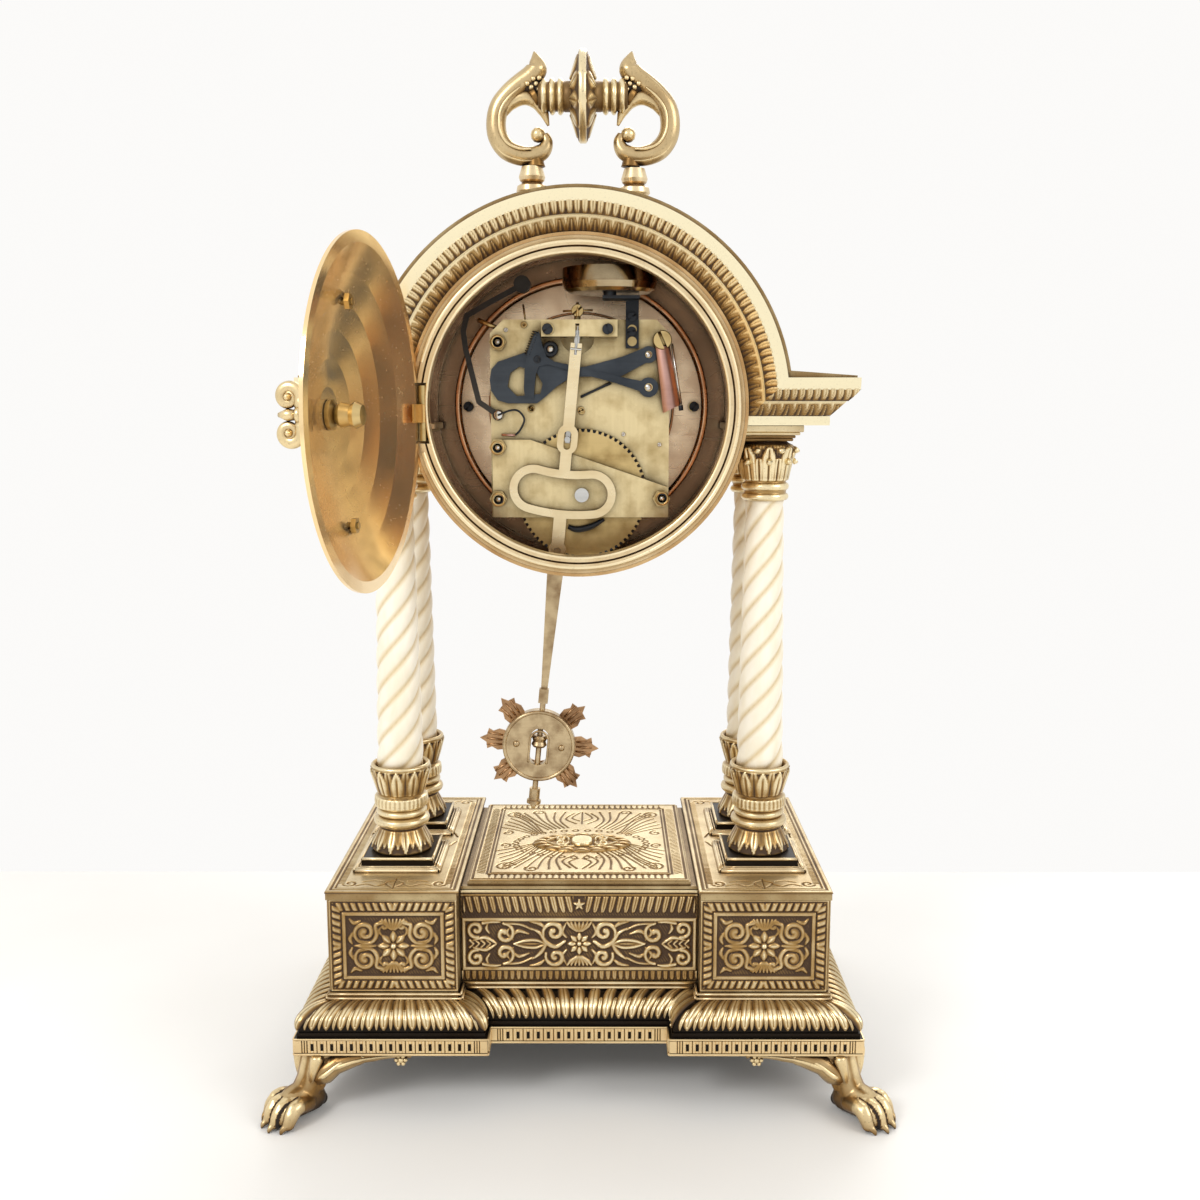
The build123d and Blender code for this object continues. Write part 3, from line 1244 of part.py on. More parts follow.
save("frame_hinges", make_frame_hinges())
save("rear_door", make_rear_door())
save("door_leaf", make_door_leaf())
save("door_knob", make_door_knob())
save("door_fittings", make_door_fittings())
save("bezel", make_bezel())
save("dial_glass", make_dial_glass())

save("pendulum_leader", make_pendulum_leader())
save("suspension_spring", make_suspension_spring())
save("pendulum_rod", make_pendulum_rod())
save("pendulum_bob", make_pendulum_bob())
save("bob_sunburst", make_bob_sunburst())
save("rating_nut", make_rating_nut())
save("crutch", make_crutch())

save("great_wheel", make_great_wheel())
save("winding_arbor", make_winding_arbor())
save("strike_rack", make_strike_rack())
save("rack_lever", make_rack_lever())
save("bell_hammer", make_bell_hammer())
save("minute_hand", make_minute_hand())
save("hour_hand", make_hour_hand())
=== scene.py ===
from math import atan2, ceil, cos, pi, radians, sin, sqrt

import bmesh
import bpy
import numpy as np
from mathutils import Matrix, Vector


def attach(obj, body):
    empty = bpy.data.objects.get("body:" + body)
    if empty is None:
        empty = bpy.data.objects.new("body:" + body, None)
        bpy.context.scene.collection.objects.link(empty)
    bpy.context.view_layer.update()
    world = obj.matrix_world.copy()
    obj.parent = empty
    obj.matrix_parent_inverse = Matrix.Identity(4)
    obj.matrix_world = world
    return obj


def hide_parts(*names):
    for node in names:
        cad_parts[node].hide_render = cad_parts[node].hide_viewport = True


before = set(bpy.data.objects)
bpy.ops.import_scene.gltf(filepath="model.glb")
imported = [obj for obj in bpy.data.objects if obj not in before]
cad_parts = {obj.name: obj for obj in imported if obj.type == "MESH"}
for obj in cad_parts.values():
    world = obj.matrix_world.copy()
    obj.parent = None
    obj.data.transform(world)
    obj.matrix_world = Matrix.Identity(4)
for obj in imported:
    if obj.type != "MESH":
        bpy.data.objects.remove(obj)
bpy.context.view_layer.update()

# Lengths are in millimetres until a piece is made. X is to the right seen from the rear, Y runs to
# the dial and Z is up. These levels and sizes are the ones that the solids have.
MM = 0.001
BAND_LOW, FILLET_TOP, GADROON_TOP, LEDGE_TOP = 26.0, 36.6, 43.4, 46.7
PLATE_TOP, BLOCK_TOP, CUP_TOP, SHAFT_TOP = 88.6, 94.1, 131.0, 240.5
CAPITAL_TOP, CORNICE_TOP, DIAL_Z = 270.6, 288.6, 277.4
PEDESTAL_X, PEDESTAL_Y, CENTRE_X, CENTRE_Y = 99.0, 59.0, 48.2, 49.0
COLUMN_X, COLUMN_Y = 75.0, 22.5
COLUMNS = [(-COLUMN_X, -COLUMN_Y), (COLUMN_X, -COLUMN_Y), (-COLUMN_X, COLUMN_Y), (COLUMN_X, COLUMN_Y)]
ARCH_RADIUS, ROOF_RADIUS, CORNICE_X, CORNICE_Y = 80.0, 81.6, 106.5, 52.0
PIVOT = (-0.8, -12.0, 307.0)
PENDULUM_TILT = radians(5.59)
HINGE = (-59.6, -44.8)
DOOR_ANGLE = radians(-98.0)
DOOR_Z = 275.2
PAW_X, PAW_Y = 111.6, 71.6
PAW_TOP = 26.0
HANDLE_X, HANDLE_Z = 1.5, 400.9
DIAL_FACE = 43.0
MOVEMENT_BACK = -3.5
WHEEL_CENTRE = (0.8, 0, DIAL_Z - 35.9)
BOB_DROP, BOB_FACE = 172.4, -14.1
# How far a carved skin stands off the solid that it covers.
PROUD = 0.12
DIAGONAL = sqrt(0.5)


# Carving


class Carving:
    """Heights worked on a grid: s runs along it and u across it, in millimetres."""

    # The height of an untouched face that grooves are cut into, and how much wider strokes are made.
    level = 0.0
    swell = 1.0

    def __init__(self, length, width, step, s0=0.0, u0=0.0):
        self.s = np.linspace(s0, s0 + length, int(ceil(length / step)) + 1)
        self.u = np.linspace(u0, u0 + width, int(ceil(width / step)) + 1)
        self.step = step
        self.h = np.zeros((len(self.s), len(self.u)))

    def grid(self):
        """s and u as a column and a row."""
        return self.s[:, None], self.u[None, :]

    def lift(self, heights):
        """Keep whichever is higher."""
        np.maximum(self.h, heights, out=self.h)

    def window(self, s, u, radius):
        """The part of the grid that lies near a place."""
        i0, i1 = np.searchsorted(self.s, (s - radius, s + radius))
        j0, j1 = np.searchsorted(self.u, (u - radius, u + radius))
        return slice(i0, i1), slice(j0, j1)

    def dab(self, s, u, radius, depth, cut=False):
        """One round lump, or one round dent."""
        radius = max(radius, 0.8 * self.step)
        ws, wu = self.window(s, u, radius)
        ds = (self.s[ws, None] - s) / radius
        du = (self.u[None, wu] - u) / radius
        bump = depth * np.sqrt(np.clip(1.0 - ds ** 2 - du ** 2, 0.0, 1.0))
        patch = self.h[ws, wu]
        if cut:
            self.h[ws, wu] = np.minimum(patch, self.level - bump)
        else:
            np.maximum(patch, bump, out=patch)

    def stroke(self, points, widths, depth, cut=False):
        """A half-round ridge or groove along a smooth line through the points."""
        line, wide = smooth_line(points, np.asarray(widths) * self.swell, 0.45 * self.step)
        for (s, u), w in zip(line, wide):
            self.dab(s, u, w, depth * min(1.0, 0.35 + w / max(wide)), cut)


def smooth_line(points, widths, spacing):
    """A curve through the points with its width at each place."""
    points = np.asarray(points, float)
    widths = np.asarray(widths, float)
    if widths.ndim == 0:
        widths = np.full(len(points), float(widths))
    if len(widths) != len(points):
        widths = np.interp(np.linspace(0, 1, len(points)), np.linspace(0, 1, len(widths)), widths)
    before = np.vstack([2 * points[0] - points[1], points[:-1]])
    after = np.vstack([points[1:], 2 * points[-1] - points[-2]])
    tangent = (after - before) / 2
    line, wide = [], []
    for i in range(len(points) - 1):
        span = np.linalg.norm(points[i + 1] - points[i])
        count = max(2, int(ceil(span / spacing)))
        t = np.linspace(0, 1, count, endpoint=False)[:, None]
        h00 = 2 * t ** 3 - 3 * t ** 2 + 1
        h10 = t ** 3 - 2 * t ** 2 + t
        h11 = t ** 3 - t ** 2
        line.append(h00 * points[i] + h10 * tangent[i] + (1 - h00) * points[i + 1] + h11 * tangent[i + 1])
        wide.append(widths[i] + (widths[i + 1] - widths[i]) * t[:, 0])
    line.append(points[-1:])
    wide.append(widths[-1:])
    return np.vstack(line), np.concatenate(wide)


def curl(s, u, start_radius, end_radius, start, turn, count=12):
    """Points of a spiral about (s, u); angles in degrees."""
    points = []
    for i in range(count + 1):
        t = i / count
        angle = radians(start + turn * t)
        r = start_radius + (end_radius - start_radius) * t
        points.append((s + r * cos(angle), u + r * sin(angle)))
    return points


def ridges(s, pitch, share=0.86):
    """Rounded ridges side by side, 1 on their crests."""
    x = (s / pitch - np.floor(s / pitch) - 0.5) * 2 / share
    return np.sqrt(np.clip(1 - x ** 2, 0, 1))


def tongues(s, u, pitch, u0, u1, rib=0.0):
    """A row of tongues that are square at u0 and round at u1, with an optional rib down each."""
    t = np.clip((u - u0) / (u1 - u0), 0, 1)
    x = (s / pitch - np.floor(s / pitch) - 0.5) * 2
    half = 0.84 * np.sqrt(np.clip(1 - t ** 4, 0.0, 1)) + 1e-6
    body = np.sqrt(np.clip(1 - (x / half) ** 2, 0, 1))
    body = body * (1 - rib * np.exp(-(x / 0.14) ** 2))
    inside = (u - u0) * (u - u1) <= 0
    return np.where(inside, body, 0.0)


def blurred(h, cells):
    """Box-blurred heights."""
    for axis in (0, 1):
        pad = [(0, 0), (0, 0)]
        pad[axis] = (cells + 1, cells)
        total = np.cumsum(np.pad(h, pad, mode="edge"), axis=axis)
        n = h.shape[axis]
        upper = np.take(total, np.arange(2 * cells + 1, 2 * cells + 1 + n), axis=axis)
        lower = np.take(total, np.arange(0, n), axis=axis)
        h = (upper - lower) / (2 * cells + 1)
    return h


# Pieces


class Piece:
    """Points, faces and the wear at each point, gathered for one object."""

    def __init__(self):
        self.points, self.wear, self.quads, self.tris, self.count = [], [], [], [], 0

    def add(self, points, quads=None, tris=None, wear=0.6):
        """Add points with the faces that join them."""
        points = np.asarray(points, float).reshape(-1, 3)
        self.points.append(points)
        self.wear.append(np.broadcast_to(np.asarray(wear, float).ravel(), (len(points),)))
        if quads is not None and len(quads):
            self.quads.append(np.asarray(quads, int).reshape(-1, 4) + self.count)
        if tris is not None and len(tris):
            self.tris.append(np.asarray(tris, int).reshape(-1, 3) + self.count)
        self.count += len(points)
        return self

    def surface(self, points, wear=0.6, close_s=False, close_u=False, out=None):
        """A sheet of quads over points laid out as rows and columns; out is the way that it faces."""
        wear = np.broadcast_to(wear, points.shape[:2]) if np.ndim(wear) < 2 else wear
        if out is not None:
            across = points[1:, :-1] - points[:-1, :-1]
            up = points[:-1, 1:] - points[:-1, :-1]
            if np.cross(across, up).sum((0, 1)) @ np.array(out, float) < 0:
                points, wear = points[::-1], wear[::-1]
        rows, cols = points.shape[:2]
        i = np.arange(rows if close_s else rows - 1)
        j = np.arange(cols if close_u else cols - 1)
        a = (i[:, None] * cols + j[None, :])
        b = (((i + 1) % rows)[:, None] * cols + j[None, :])
        c = (((i + 1) % rows)[:, None] * cols + ((j + 1) % cols)[None, :])
        d = (i[:, None] * cols + ((j + 1) % cols)[None, :])
        return self.add(points, np.stack([a, b, c, d], -1).reshape(-1, 4), wear=wear)

    def carved(self, carving, shape, wear=None, gain=0.9, close_s=False, out=None):
        """Lay a carving on a shape, a function from (s, u, height) to points."""
        h = carving.h
        if wear is None:
            top = max(h.max(), 1e-6)
            local = h - blurred(h, max(1, int(round(1.1 / carving.step))))
            wear = np.clip(0.08 + 0.66 * h / top + gain * local / top, 0, 1)
        s, u = np.meshgrid(carving.s, carving.u, indexing="ij")
        points = shape(s, u, h)
        if close_s:
            points, wear = points[:-1], wear[:-1]
        return self.surface(points, wear, close_s=close_s, out=out)

    def panel(self, carving, origin, along, up, out, wear=None):
        """Lay a carving on a flat place that faces out."""
        origin, along, up, facing = (np.array(v, float) for v in (origin, along, up, out))

        def shape(s, u, h):
            return origin + s[..., None] * along + u[..., None] * up + h[..., None] * facing

        return self.carved(carving, shape, wear, out=out)

    def bead(self, centre, radius, wear=0.8, squash=(1, 1, 1)):
        """A small ball."""
        mesh = bmesh.new()
        bmesh.ops.create_icosphere(mesh, subdivisions=2, radius=radius)
        return self.take(mesh, wear, lambda p: p * np.array(squash) + np.array(centre))

    def block(self, x0, x1, y0, y1, z0, z1, wear=0.7, soften=0.25):
        """A box with chamfered edges."""
        low, high = np.array((x0, y0, z0)), np.array((x1, y1, z1))
        chamfer = min(soften, *(high - low) / 3)
        mesh = bmesh.new()
        bmesh.ops.create_cube(mesh, size=1.0)
        for v in mesh.verts:
            v.co = Vector((low + high) / 2 + np.array(v.co) * (high - low))
        bmesh.ops.bevel(mesh, geom=list(mesh.edges), offset=chamfer, segments=1, affect="EDGES")
        return self.take(mesh, wear)

    def take(self, mesh, wear=0.6, shape=None):
        """Add the points and faces of a bmesh and free it."""
        bmesh.ops.triangulate(mesh, faces=[f for f in mesh.faces if len(f.verts) > 4])
        mesh.verts.index_update()
        points = np.array([v.co for v in mesh.verts])
        quads = [[v.index for v in f.verts] for f in mesh.faces if len(f.verts) == 4]
        tris = [[v.index for v in f.verts] for f in mesh.faces if len(f.verts) == 3]
        mesh.free()
        if shape is not None:
            points = shape(points)
        return self.add(points, quads, tris, wear)

    def turned(self, profile, centre, axis="Z", sides=48, wear=0.6, carve=None):
        """A shape turned about an axis from (radius, along) points."""
        profile = np.asarray(profile, float)
        angle = np.linspace(0, 2 * pi, sides, endpoint=False)
        r = np.repeat(profile[None, :, 0], sides, 0)
        along = np.repeat(profile[None, :, 1], sides, 0)
        if carve is not None:
            r = r + carve(angle[:, None], profile[None, :, 1])
        c, s = np.cos(angle)[:, None], np.sin(angle)[:, None]
        first, second = r * c, r * s
        if axis == "Z":
            points = np.stack([centre[0] + first, centre[1] + second, centre[2] + along], -1)
        elif axis == "Y":
            points = np.stack([centre[0] + second, centre[1] + along, centre[2] + first], -1)
        else:
            points = np.stack([centre[0] + along, centre[1] + first, centre[2] + second], -1)
        if np.ndim(wear) == 1:
            wear = np.repeat(np.asarray(wear)[None, :], sides, 0)
        return self.surface(points, wear, close_s=True)

    def rod(self, path, radii, sides=12, wear=0.6, spread=1.0):
        """A rod along a path, closed at both ends; spread widens it along one direction."""
        path = np.asarray(path, float)
        radii = np.broadcast_to(np.asarray(radii, float), (len(path),))
        tangent = np.gradient(path, axis=0)
        tangent /= np.linalg.norm(tangent, axis=1)[:, None]
        side = np.array([0.0, 1.0, 0.0]) if abs(tangent[0][1]) < 0.9 else np.array([1.0, 0.0, 0.0])
        angle = np.linspace(0, 2 * pi, sides, endpoint=False)
        rings = []
        for p, t, r in zip(path, tangent, radii):
            side = side - t * np.dot(side, t)
            side = side / np.linalg.norm(side)
            other = np.cross(t, side)
            rings.append(p + r * (np.cos(angle)[:, None] * side * spread + np.sin(angle)[:, None] * other))
        points = np.array(rings)
        base = self.count
        self.surface(points, wear, close_u=True)
        caps = []
        for ring, turn in ((0, -1), (len(path) - 1, 1)):
            centre = self.count
            self.add(path[ring], wear=float(np.mean(wear)))
            for k in range(sides):
                a, b = base + ring * sides + k, base + ring * sides + (k + 1) % sides
                caps.append((a, b, centre) if turn < 0 else (b, a, centre))
        self.tris.append(np.array(caps, int))
        return self

    def make(self, name, material, body, slot, flat=False, move=None, mirrors=()):
        """Turn what was gathered into a Blender object that rides on a body."""
        points = np.concatenate(self.points)
        wear = np.concatenate(self.wear)
        quads = np.concatenate(self.quads) if self.quads else np.zeros((0, 4), int)
        tris = np.concatenate(self.tris) if self.tris else np.zeros((0, 3), int)
        for axis in mirrors:
            n = len(points)
            twin = points.copy()
            twin[:, axis] *= -1
            points, wear = np.concatenate([points, twin]), np.concatenate([wear, wear])
            quads = np.concatenate([quads, quads[:, ::-1] + n])
            tris = np.concatenate([tris, tris[:, ::-1] + n])
        if move is not None:
            points = move(points)
        mesh = bpy.data.meshes.new(name)
        mesh.vertices.add(len(points))
        mesh.vertices.foreach_set("co", (points * MM).astype(np.float32).ravel())
        loops = np.concatenate([quads.ravel(), tris.ravel()]).astype(np.int32)
        mesh.loops.add(len(loops))
        mesh.loops.foreach_set("vertex_index", loops)
        starts = np.concatenate([np.arange(len(quads)) * 4, len(quads) * 4 + np.arange(len(tris)) * 3])
        mesh.polygons.add(len(starts))
        mesh.polygons.foreach_set("loop_start", starts.astype(np.int32))
        mesh.update(calc_edges=True)
        mesh.validate()
        mesh.polygons.foreach_set("use_smooth", np.full(len(mesh.polygons), not flat))
        mesh.attributes.new("wear", "FLOAT", "POINT").data.foreach_set("value", wear.astype(np.float32))
        mesh.materials.append(material)
        thing = bpy.data.objects.new(name, mesh)
        bpy.context.scene.collection.objects.link(thing)
        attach(thing, body)
        return thing


# Finishes


def node_group(name, inputs, outputs):
    """An empty shader node group with named sockets, and its two end nodes."""
    group = bpy.data.node_groups.new(name, "ShaderNodeTree")
    kinds = {"c": "NodeSocketColor", "f": "NodeSocketFloat", "v": "NodeSocketVector"}
    for label, kind, value in inputs:
        socket = group.interface.new_socket(label, in_out="INPUT", socket_type=kinds[kind])
        if value is not None:
            socket.default_value = value
    for label, kind in outputs:
        group.interface.new_socket(label, in_out="OUTPUT", socket_type=kinds[kind])
    return group, group.nodes.new("NodeGroupInput"), group.nodes.new("NodeGroupOutput")


def put(tree, kind, settings=None, **values):
    """A node with its settings and socket values; a value may be another node's output.

    A socket is given by its name, with _ for a space, or as i0, i1 and so on by its place.
    """
    node = tree.nodes.new(kind)
    for key, value in (settings or {}).items():
        setattr(node, key, value)
    for key, value in values.items():
        by_place = key[0] == "i" and key[1:].isdigit()
        socket = node.inputs[int(key[1:]) if by_place else key.replace("_", " ")]
        if isinstance(value, bpy.types.NodeSocket):
            tree.links.new(value, socket)
        else:
            socket.default_value = value
    return node


def sums(tree, operation, a, b=0.0, clamp=False):
    """The result of a Math node."""
    return put(tree, "ShaderNodeMath", {"operation": operation, "use_clamp": clamp}, i0=a, i1=b).outputs[0]


def blend(tree, share, a, b):
    """A colour between two colours."""
    node = put(tree, "ShaderNodeMix", {"data_type": "RGBA"}, i0=share)
    for value, index in ((a, 6), (b, 7)):
        if isinstance(value, bpy.types.NodeSocket):
            tree.links.new(value, node.inputs[index])
        else:
            node.inputs[index].default_value = value
    return node.outputs[2]


def ramp(tree, value, low, high):
    """0 at low and 1 at high, which may be the smaller one."""
    return put(tree, "ShaderNodeMapRange", {"clamp": True}, i0=value, i1=low, i2=high).outputs[0]


def noise(tree, scale, detail=4.0, stretch=(1, 1, 1), distortion=0.0):
    """Cloudy values that stay with the object."""
    where = put(tree, "ShaderNodeTexCoord").outputs["Object"]
    moved = put(tree, "ShaderNodeMapping", i0=where, Scale=stretch).outputs[0]
    clouds = put(tree, "ShaderNodeTexNoise", Vector=moved, Scale=scale, Detail=detail,
                 Distortion=distortion)
    return clouds.outputs[0]


def rgb(text):
    """A colour from its written sRGB value."""
    parts = [int(text[i:i + 2], 16) / 255 for i in (0, 2, 4)]
    return tuple(c / 12.92 if c < 0.04045 else ((c + 0.055) / 1.055) ** 2.4 for c in parts) + (1.0,)


def build_patina():
    """Old gilding: bright on crests, brown in hollows from patina and from painted shade, with cloudy
    tarnish and small dark spots.
    """
    group, inside, out = node_group("patina_wear", [
        ("Crest", "c", rgb("E8CF94")), ("Body", "c", rgb("B08A48")), ("Hollow", "c", rgb("2A1C0E")),
        ("Plain Wear", "f", 0.0), ("Hollow Depth", "f", 0.0), ("Cloud", "f", 0.25), ("Spots", "f", 0.3)],
        [("Colour", "c"), ("Roughness", "f"), ("Metal", "f"), ("Height", "f")])
    given = inside.outputs
    worn = put(group, "ShaderNodeAttribute", {"attribute_name": "wear"}).outputs["Fac"]
    worn = sums(group, "MAXIMUM", worn, given["Plain Wear"])
    cloud, fine, wide = noise(group, 90, 5), noise(group, 1400, 3), noise(group, 26, 3)
    for drift in (cloud, wide):
        shift = sums(group, "MULTIPLY", sums(group, "SUBTRACT", drift, 0.5), given["Cloud"])
        worn = sums(group, "ADD", worn, shift)
    # Partly patina, partly painted shade: the ambient occlusion pushes the colour towards Hollow in
    # recesses and where parts come close.
    openness = put(group, "ShaderNodeAmbientOcclusion", {"samples": 4}, Distance=0.0035).outputs["AO"]
    closed = sums(group, "SUBTRACT", 1.0, ramp(group, openness, 0.25, 0.85))
    keep = sums(group, "SUBTRACT", 1.0, sums(group, "MULTIPLY", given["Hollow Depth"], closed))
    worn = sums(group, "MULTIPLY", worn, keep, True)
    lower, upper = ramp(group, worn, 0.10, 0.46), ramp(group, worn, 0.48, 0.88)
    colour = blend(group, lower, given["Hollow"], given["Body"])
    colour = blend(group, upper, colour, given["Crest"])
    specks = sums(group, "MULTIPLY", ramp(group, fine, 0.60, 0.68), given["Spots"])
    dull = sums(group, "MULTIPLY", sums(group, "SUBTRACT", 1.0, lower), 0.3)
    height = sums(group, "ADD", sums(group, "MULTIPLY", cloud, 0.5), sums(group, "MULTIPLY", fine, 0.3))
    group.links.new(blend(group, specks, colour, given["Hollow"]), out.inputs["Colour"])
    group.links.new(sums(group, "ADD", 0.30, dull), out.inputs["Roughness"])
    group.links.new(sums(group, "ADD", 0.35, sums(group, "MULTIPLY", lower, 0.55)), out.inputs["Metal"])
    group.links.new(height, out.inputs["Height"])
    return group


def build_brushing():
    """Fine marks along one direction, a few longer scratches and cloudy tarnish."""
    group, inside, out = node_group("brushing_marks", [
        ("Direction", "v", (1.0, 0.02, 0.02)), ("Scale", "f", 900.0), ("Tarnish Scale", "f", 60.0)],
        [("Marks", "f"), ("Scratches", "f"), ("Tarnish", "f")])
    given = inside.outputs
    where = put(group, "ShaderNodeTexCoord").outputs["Object"]
    line = put(group, "ShaderNodeVectorMath", {"operation": "MULTIPLY"}, i0=where,
               i1=given["Direction"]).outputs[0]
    marks = put(group, "ShaderNodeTexNoise", Vector=line, Scale=given["Scale"], Detail=3.0).outputs[0]
    turned = put(group, "ShaderNodeMapping", i0=where, Rotation=(0.3, 0.7, 0.5),
                 Scale=(40, 900, 900)).outputs[0]
    long_marks = put(group, "ShaderNodeTexNoise", Vector=turned, Scale=1.0, Detail=1.0).outputs[0]
    group.links.new(marks, out.inputs["Marks"])
    group.links.new(ramp(group, long_marks, 0.66, 0.72), out.inputs["Scratches"])
    group.links.new(ramp(group, noise(group, given["Tarnish Scale"], 5), 0.42, 0.72), out.inputs["Tarnish"])
    return group


def build_contact_shade():
    """Painted shade where two surfaces come close. The last two inputs are how open a place is where it is
    left bare and where the shade is full.
    """
    group, inside, out = node_group("painted_contact_shade", [("Colour", "c", rgb("FFFFFF")),
                                                      ("Grime", "c", rgb("2B1D10")), ("Reach", "f", 0.01),
                                                      ("Clean", "f", 0.92), ("Dirty", "f", 0.25)],
                                    [("Colour", "c")])
    given = inside.outputs
    openness = put(group, "ShaderNodeAmbientOcclusion", {"samples": 4},
                   Distance=given["Reach"]).outputs["AO"]
    share = ramp(group, openness, given["Clean"], given["Dirty"])
    group.links.new(blend(group, share, given["Colour"], given["Grime"]), out.inputs["Colour"])
    return group


def build_glaze():
    """Fired enamel: two close colours in faint clouds, an uneven gloss and a fine skin."""
    group, inside, out = node_group("enamel_glaze", [("Light", "c", rgb("F3EDE0")),
                                                     ("Shade", "c", rgb("E7DECB"))],
                                    [("Colour", "c"), ("Roughness", "f"), ("Height", "f")])
    given = inside.outputs
    colour = blend(group, ramp(group, noise(group, 60, 5), 0.4, 0.8), given["Light"], given["Shade"])
    uneven = sums(group, "MULTIPLY", noise(group, 300, 3), 0.15)
    group.links.new(colour, out.inputs["Colour"])
    group.links.new(sums(group, "ADD", 0.22, uneven), out.inputs["Roughness"])
    group.links.new(noise(group, 500, 2), out.inputs["Height"])
    return group


PATINA, BRUSHING, CONTACT_SHADE, GLAZE = build_patina(), build_brushing(), build_contact_shade(), build_glaze()


def new_material(name, **sockets):
    """A material with its node tree and its shader, whose sockets are given with _ for a space."""
    material = bpy.data.materials.new(name)
    material.use_nodes = True
    tree = material.node_tree
    shader = tree.nodes["Principled BSDF"]
    for key, value in sockets.items():
        shader.inputs[key.replace("_", " ")].default_value = value
    return material, tree, shader


def bump(tree, shader, height, strength=0.3, distance=0.0001):
    """Let a height tilt the shader's surface."""
    node = put(tree, "ShaderNodeBump", Strength=strength, Distance=distance, Height=height)
    tree.links.new(node.outputs[0], shader.inputs["Normal"])


def contact_shaded(tree, colour, shadow_colour, reach, unshaded, shaded):
    """A colour with painted shade in its crevices and where other surfaces come close."""
    group = put(tree, "ShaderNodeGroup", {"node_tree": CONTACT_SHADE}, Colour=colour, Grime=rgb(shadow_colour), Reach=reach,
                Clean=unshaded, Dirty=shaded)
    return group.outputs["Colour"]


def gilt(name, crest, body, hollow, plain=0.0, depth=0.0, cloud=0.25, spots=0.3, shine=0.0):
    """Antique gilt metal. plain is the wear where a piece has none of its own."""
    material, tree, shader = new_material(name)
    group = put(tree, "ShaderNodeGroup", {"node_tree": PATINA}, Crest=rgb(crest), Body=rgb(body),
                Hollow=rgb(hollow), Plain_Wear=plain, Hollow_Depth=depth, Cloud=cloud, Spots=spots)
    tree.links.new(group.outputs["Colour"], shader.inputs["Base Color"])
    rough = sums(tree, "SUBTRACT", group.outputs["Roughness"], shine, True)
    tree.links.new(rough, shader.inputs["Roughness"])
    tree.links.new(group.outputs["Metal"], shader.inputs["Metallic"])
    bump(tree, shader, group.outputs["Height"], 0.35, 0.0002)
    return material


def bright(name, light, dark, rough, direction=(0.02, 1.0, 1.0), metal=1.0, marks=0.25, tarnish=0.3,
           cloud=60, near=0.0):
    """Machined or polished metal with brushing marks and faint tarnish; near is how far painted shade
    reaches from surfaces close by.
    """
    material, tree, shader = new_material(name, Metallic=metal)
    group = put(tree, "ShaderNodeGroup", {"node_tree": BRUSHING}, Direction=direction, Tarnish_Scale=cloud)
    stain, lines = group.outputs["Tarnish"], group.outputs["Marks"]
    share = sums(tree, "MULTIPLY", stain, tarnish)
    share = sums(tree, "ADD", share, sums(tree, "MULTIPLY", lines, marks), True)
    colour = blend(tree, share, rgb(light), rgb(dark))
    if near:
        # Painted shade in a dark brown where other surfaces come close.
        colour = contact_shaded(tree, colour, "2B1D10", near, 0.92, 0.25)
    tree.links.new(colour, shader.inputs["Base Color"])
    rougher = sums(tree, "ADD", rough, sums(tree, "MULTIPLY", stain, 0.12))
    rougher = sums(tree, "ADD", rougher, sums(tree, "MULTIPLY", group.outputs["Scratches"], 0.1), True)
    tree.links.new(rougher, shader.inputs["Roughness"])
    bump(tree, shader, lines, 0.12, 0.00005)
    return material


gilt_relief = gilt("gilt_relief", "EEDDB4", "A2804C", "46311D", cloud=0.36)
gilt_dentil = gilt("gilt_dentil", "EAD0A0", "B58D5A", "35230F", cloud=0.3, spots=0.15)
gilt_plain = gilt("gilt_plain", "F4E3BC", "B48A4E", "2C1E10", plain=0.74, depth=0.9, cloud=0.35, spots=0.15)
gilt_cast = gilt("gilt_cast", "EBD5A6", "8D6A3A", "22150A", depth=0.95, cloud=0.28, spots=0.25)
gilt_pale = gilt("gilt_pale", "F9EDC8", "D6B880", "4A3519", plain=0.86, depth=0.8, cloud=0.3, spots=0.12)
gilt_engraved = gilt("gilt_engraved", "DFCEA2", "8E7249", "1A120A", plain=0.58, depth=0.9, cloud=0.42,
                     spots=0.35)
black_patina = gilt("black_patina", "5A4A34", "221A12", "0C0907", plain=0.42, depth=0.5, cloud=0.3,
                    spots=0.2)
drum_gilt = gilt("drum_gilt", "E6C591", "A2743F", "3A2411", plain=0.7, depth=0.6, cloud=0.45, spots=0.2,
                 shine=0.12)
door_gold = bright("door_gold", "FFE2AE", "E8B878", 0.14, metal=0.9, marks=0.05, tarnish=0.4, cloud=30)
rim_gold = bright("rim_gold", "F2D090", "A87A3A", 0.2, tarnish=0.4)
# The materials given near carry painted shade: the plate round the leader and wheels, the wheel, the dial
# pan, the drum's copper and the bell.
plate_brass = bright("plate_brass", "EFDCAC", "A88D58", 0.28, direction=(1.0, 0.02, 0.03), tarnish=0.6,
                     cloud=110, near=0.010)
leader_brass = bright("leader_brass", "F6E6C0", "C9AC74", 0.25, tarnish=0.4)
nut_brass = bright("nut_brass", "CDB682", "6F5836", 0.3, tarnish=0.6)
wheel_brass = bright("wheel_brass", "D9BF86", "8E7140", 0.28, tarnish=0.6, cloud=110, near=0.004)
pan_metal = bright("pan_metal", "F2DAB8", "B79270", 0.24, tarnish=0.4, near=0.012)
copper_glow = bright("copper_glow", "E6B68C", "96643F", 0.24, tarnish=0.4, near=0.010)
bright_steel = bright("bright_steel", "D9D9D6", "8C8B88", 0.22, tarnish=0.3)
blued_steel = bright("blued_steel", "4C5157", "24282D", 0.3, tarnish=0.5)
blued_black = bright("blued_black", "33383F", "0E1013", 0.42, metal=0.5, tarnish=0.4)
black_steel = bright("black_steel", "4A4743", "1D1B19", 0.4, tarnish=0.4)
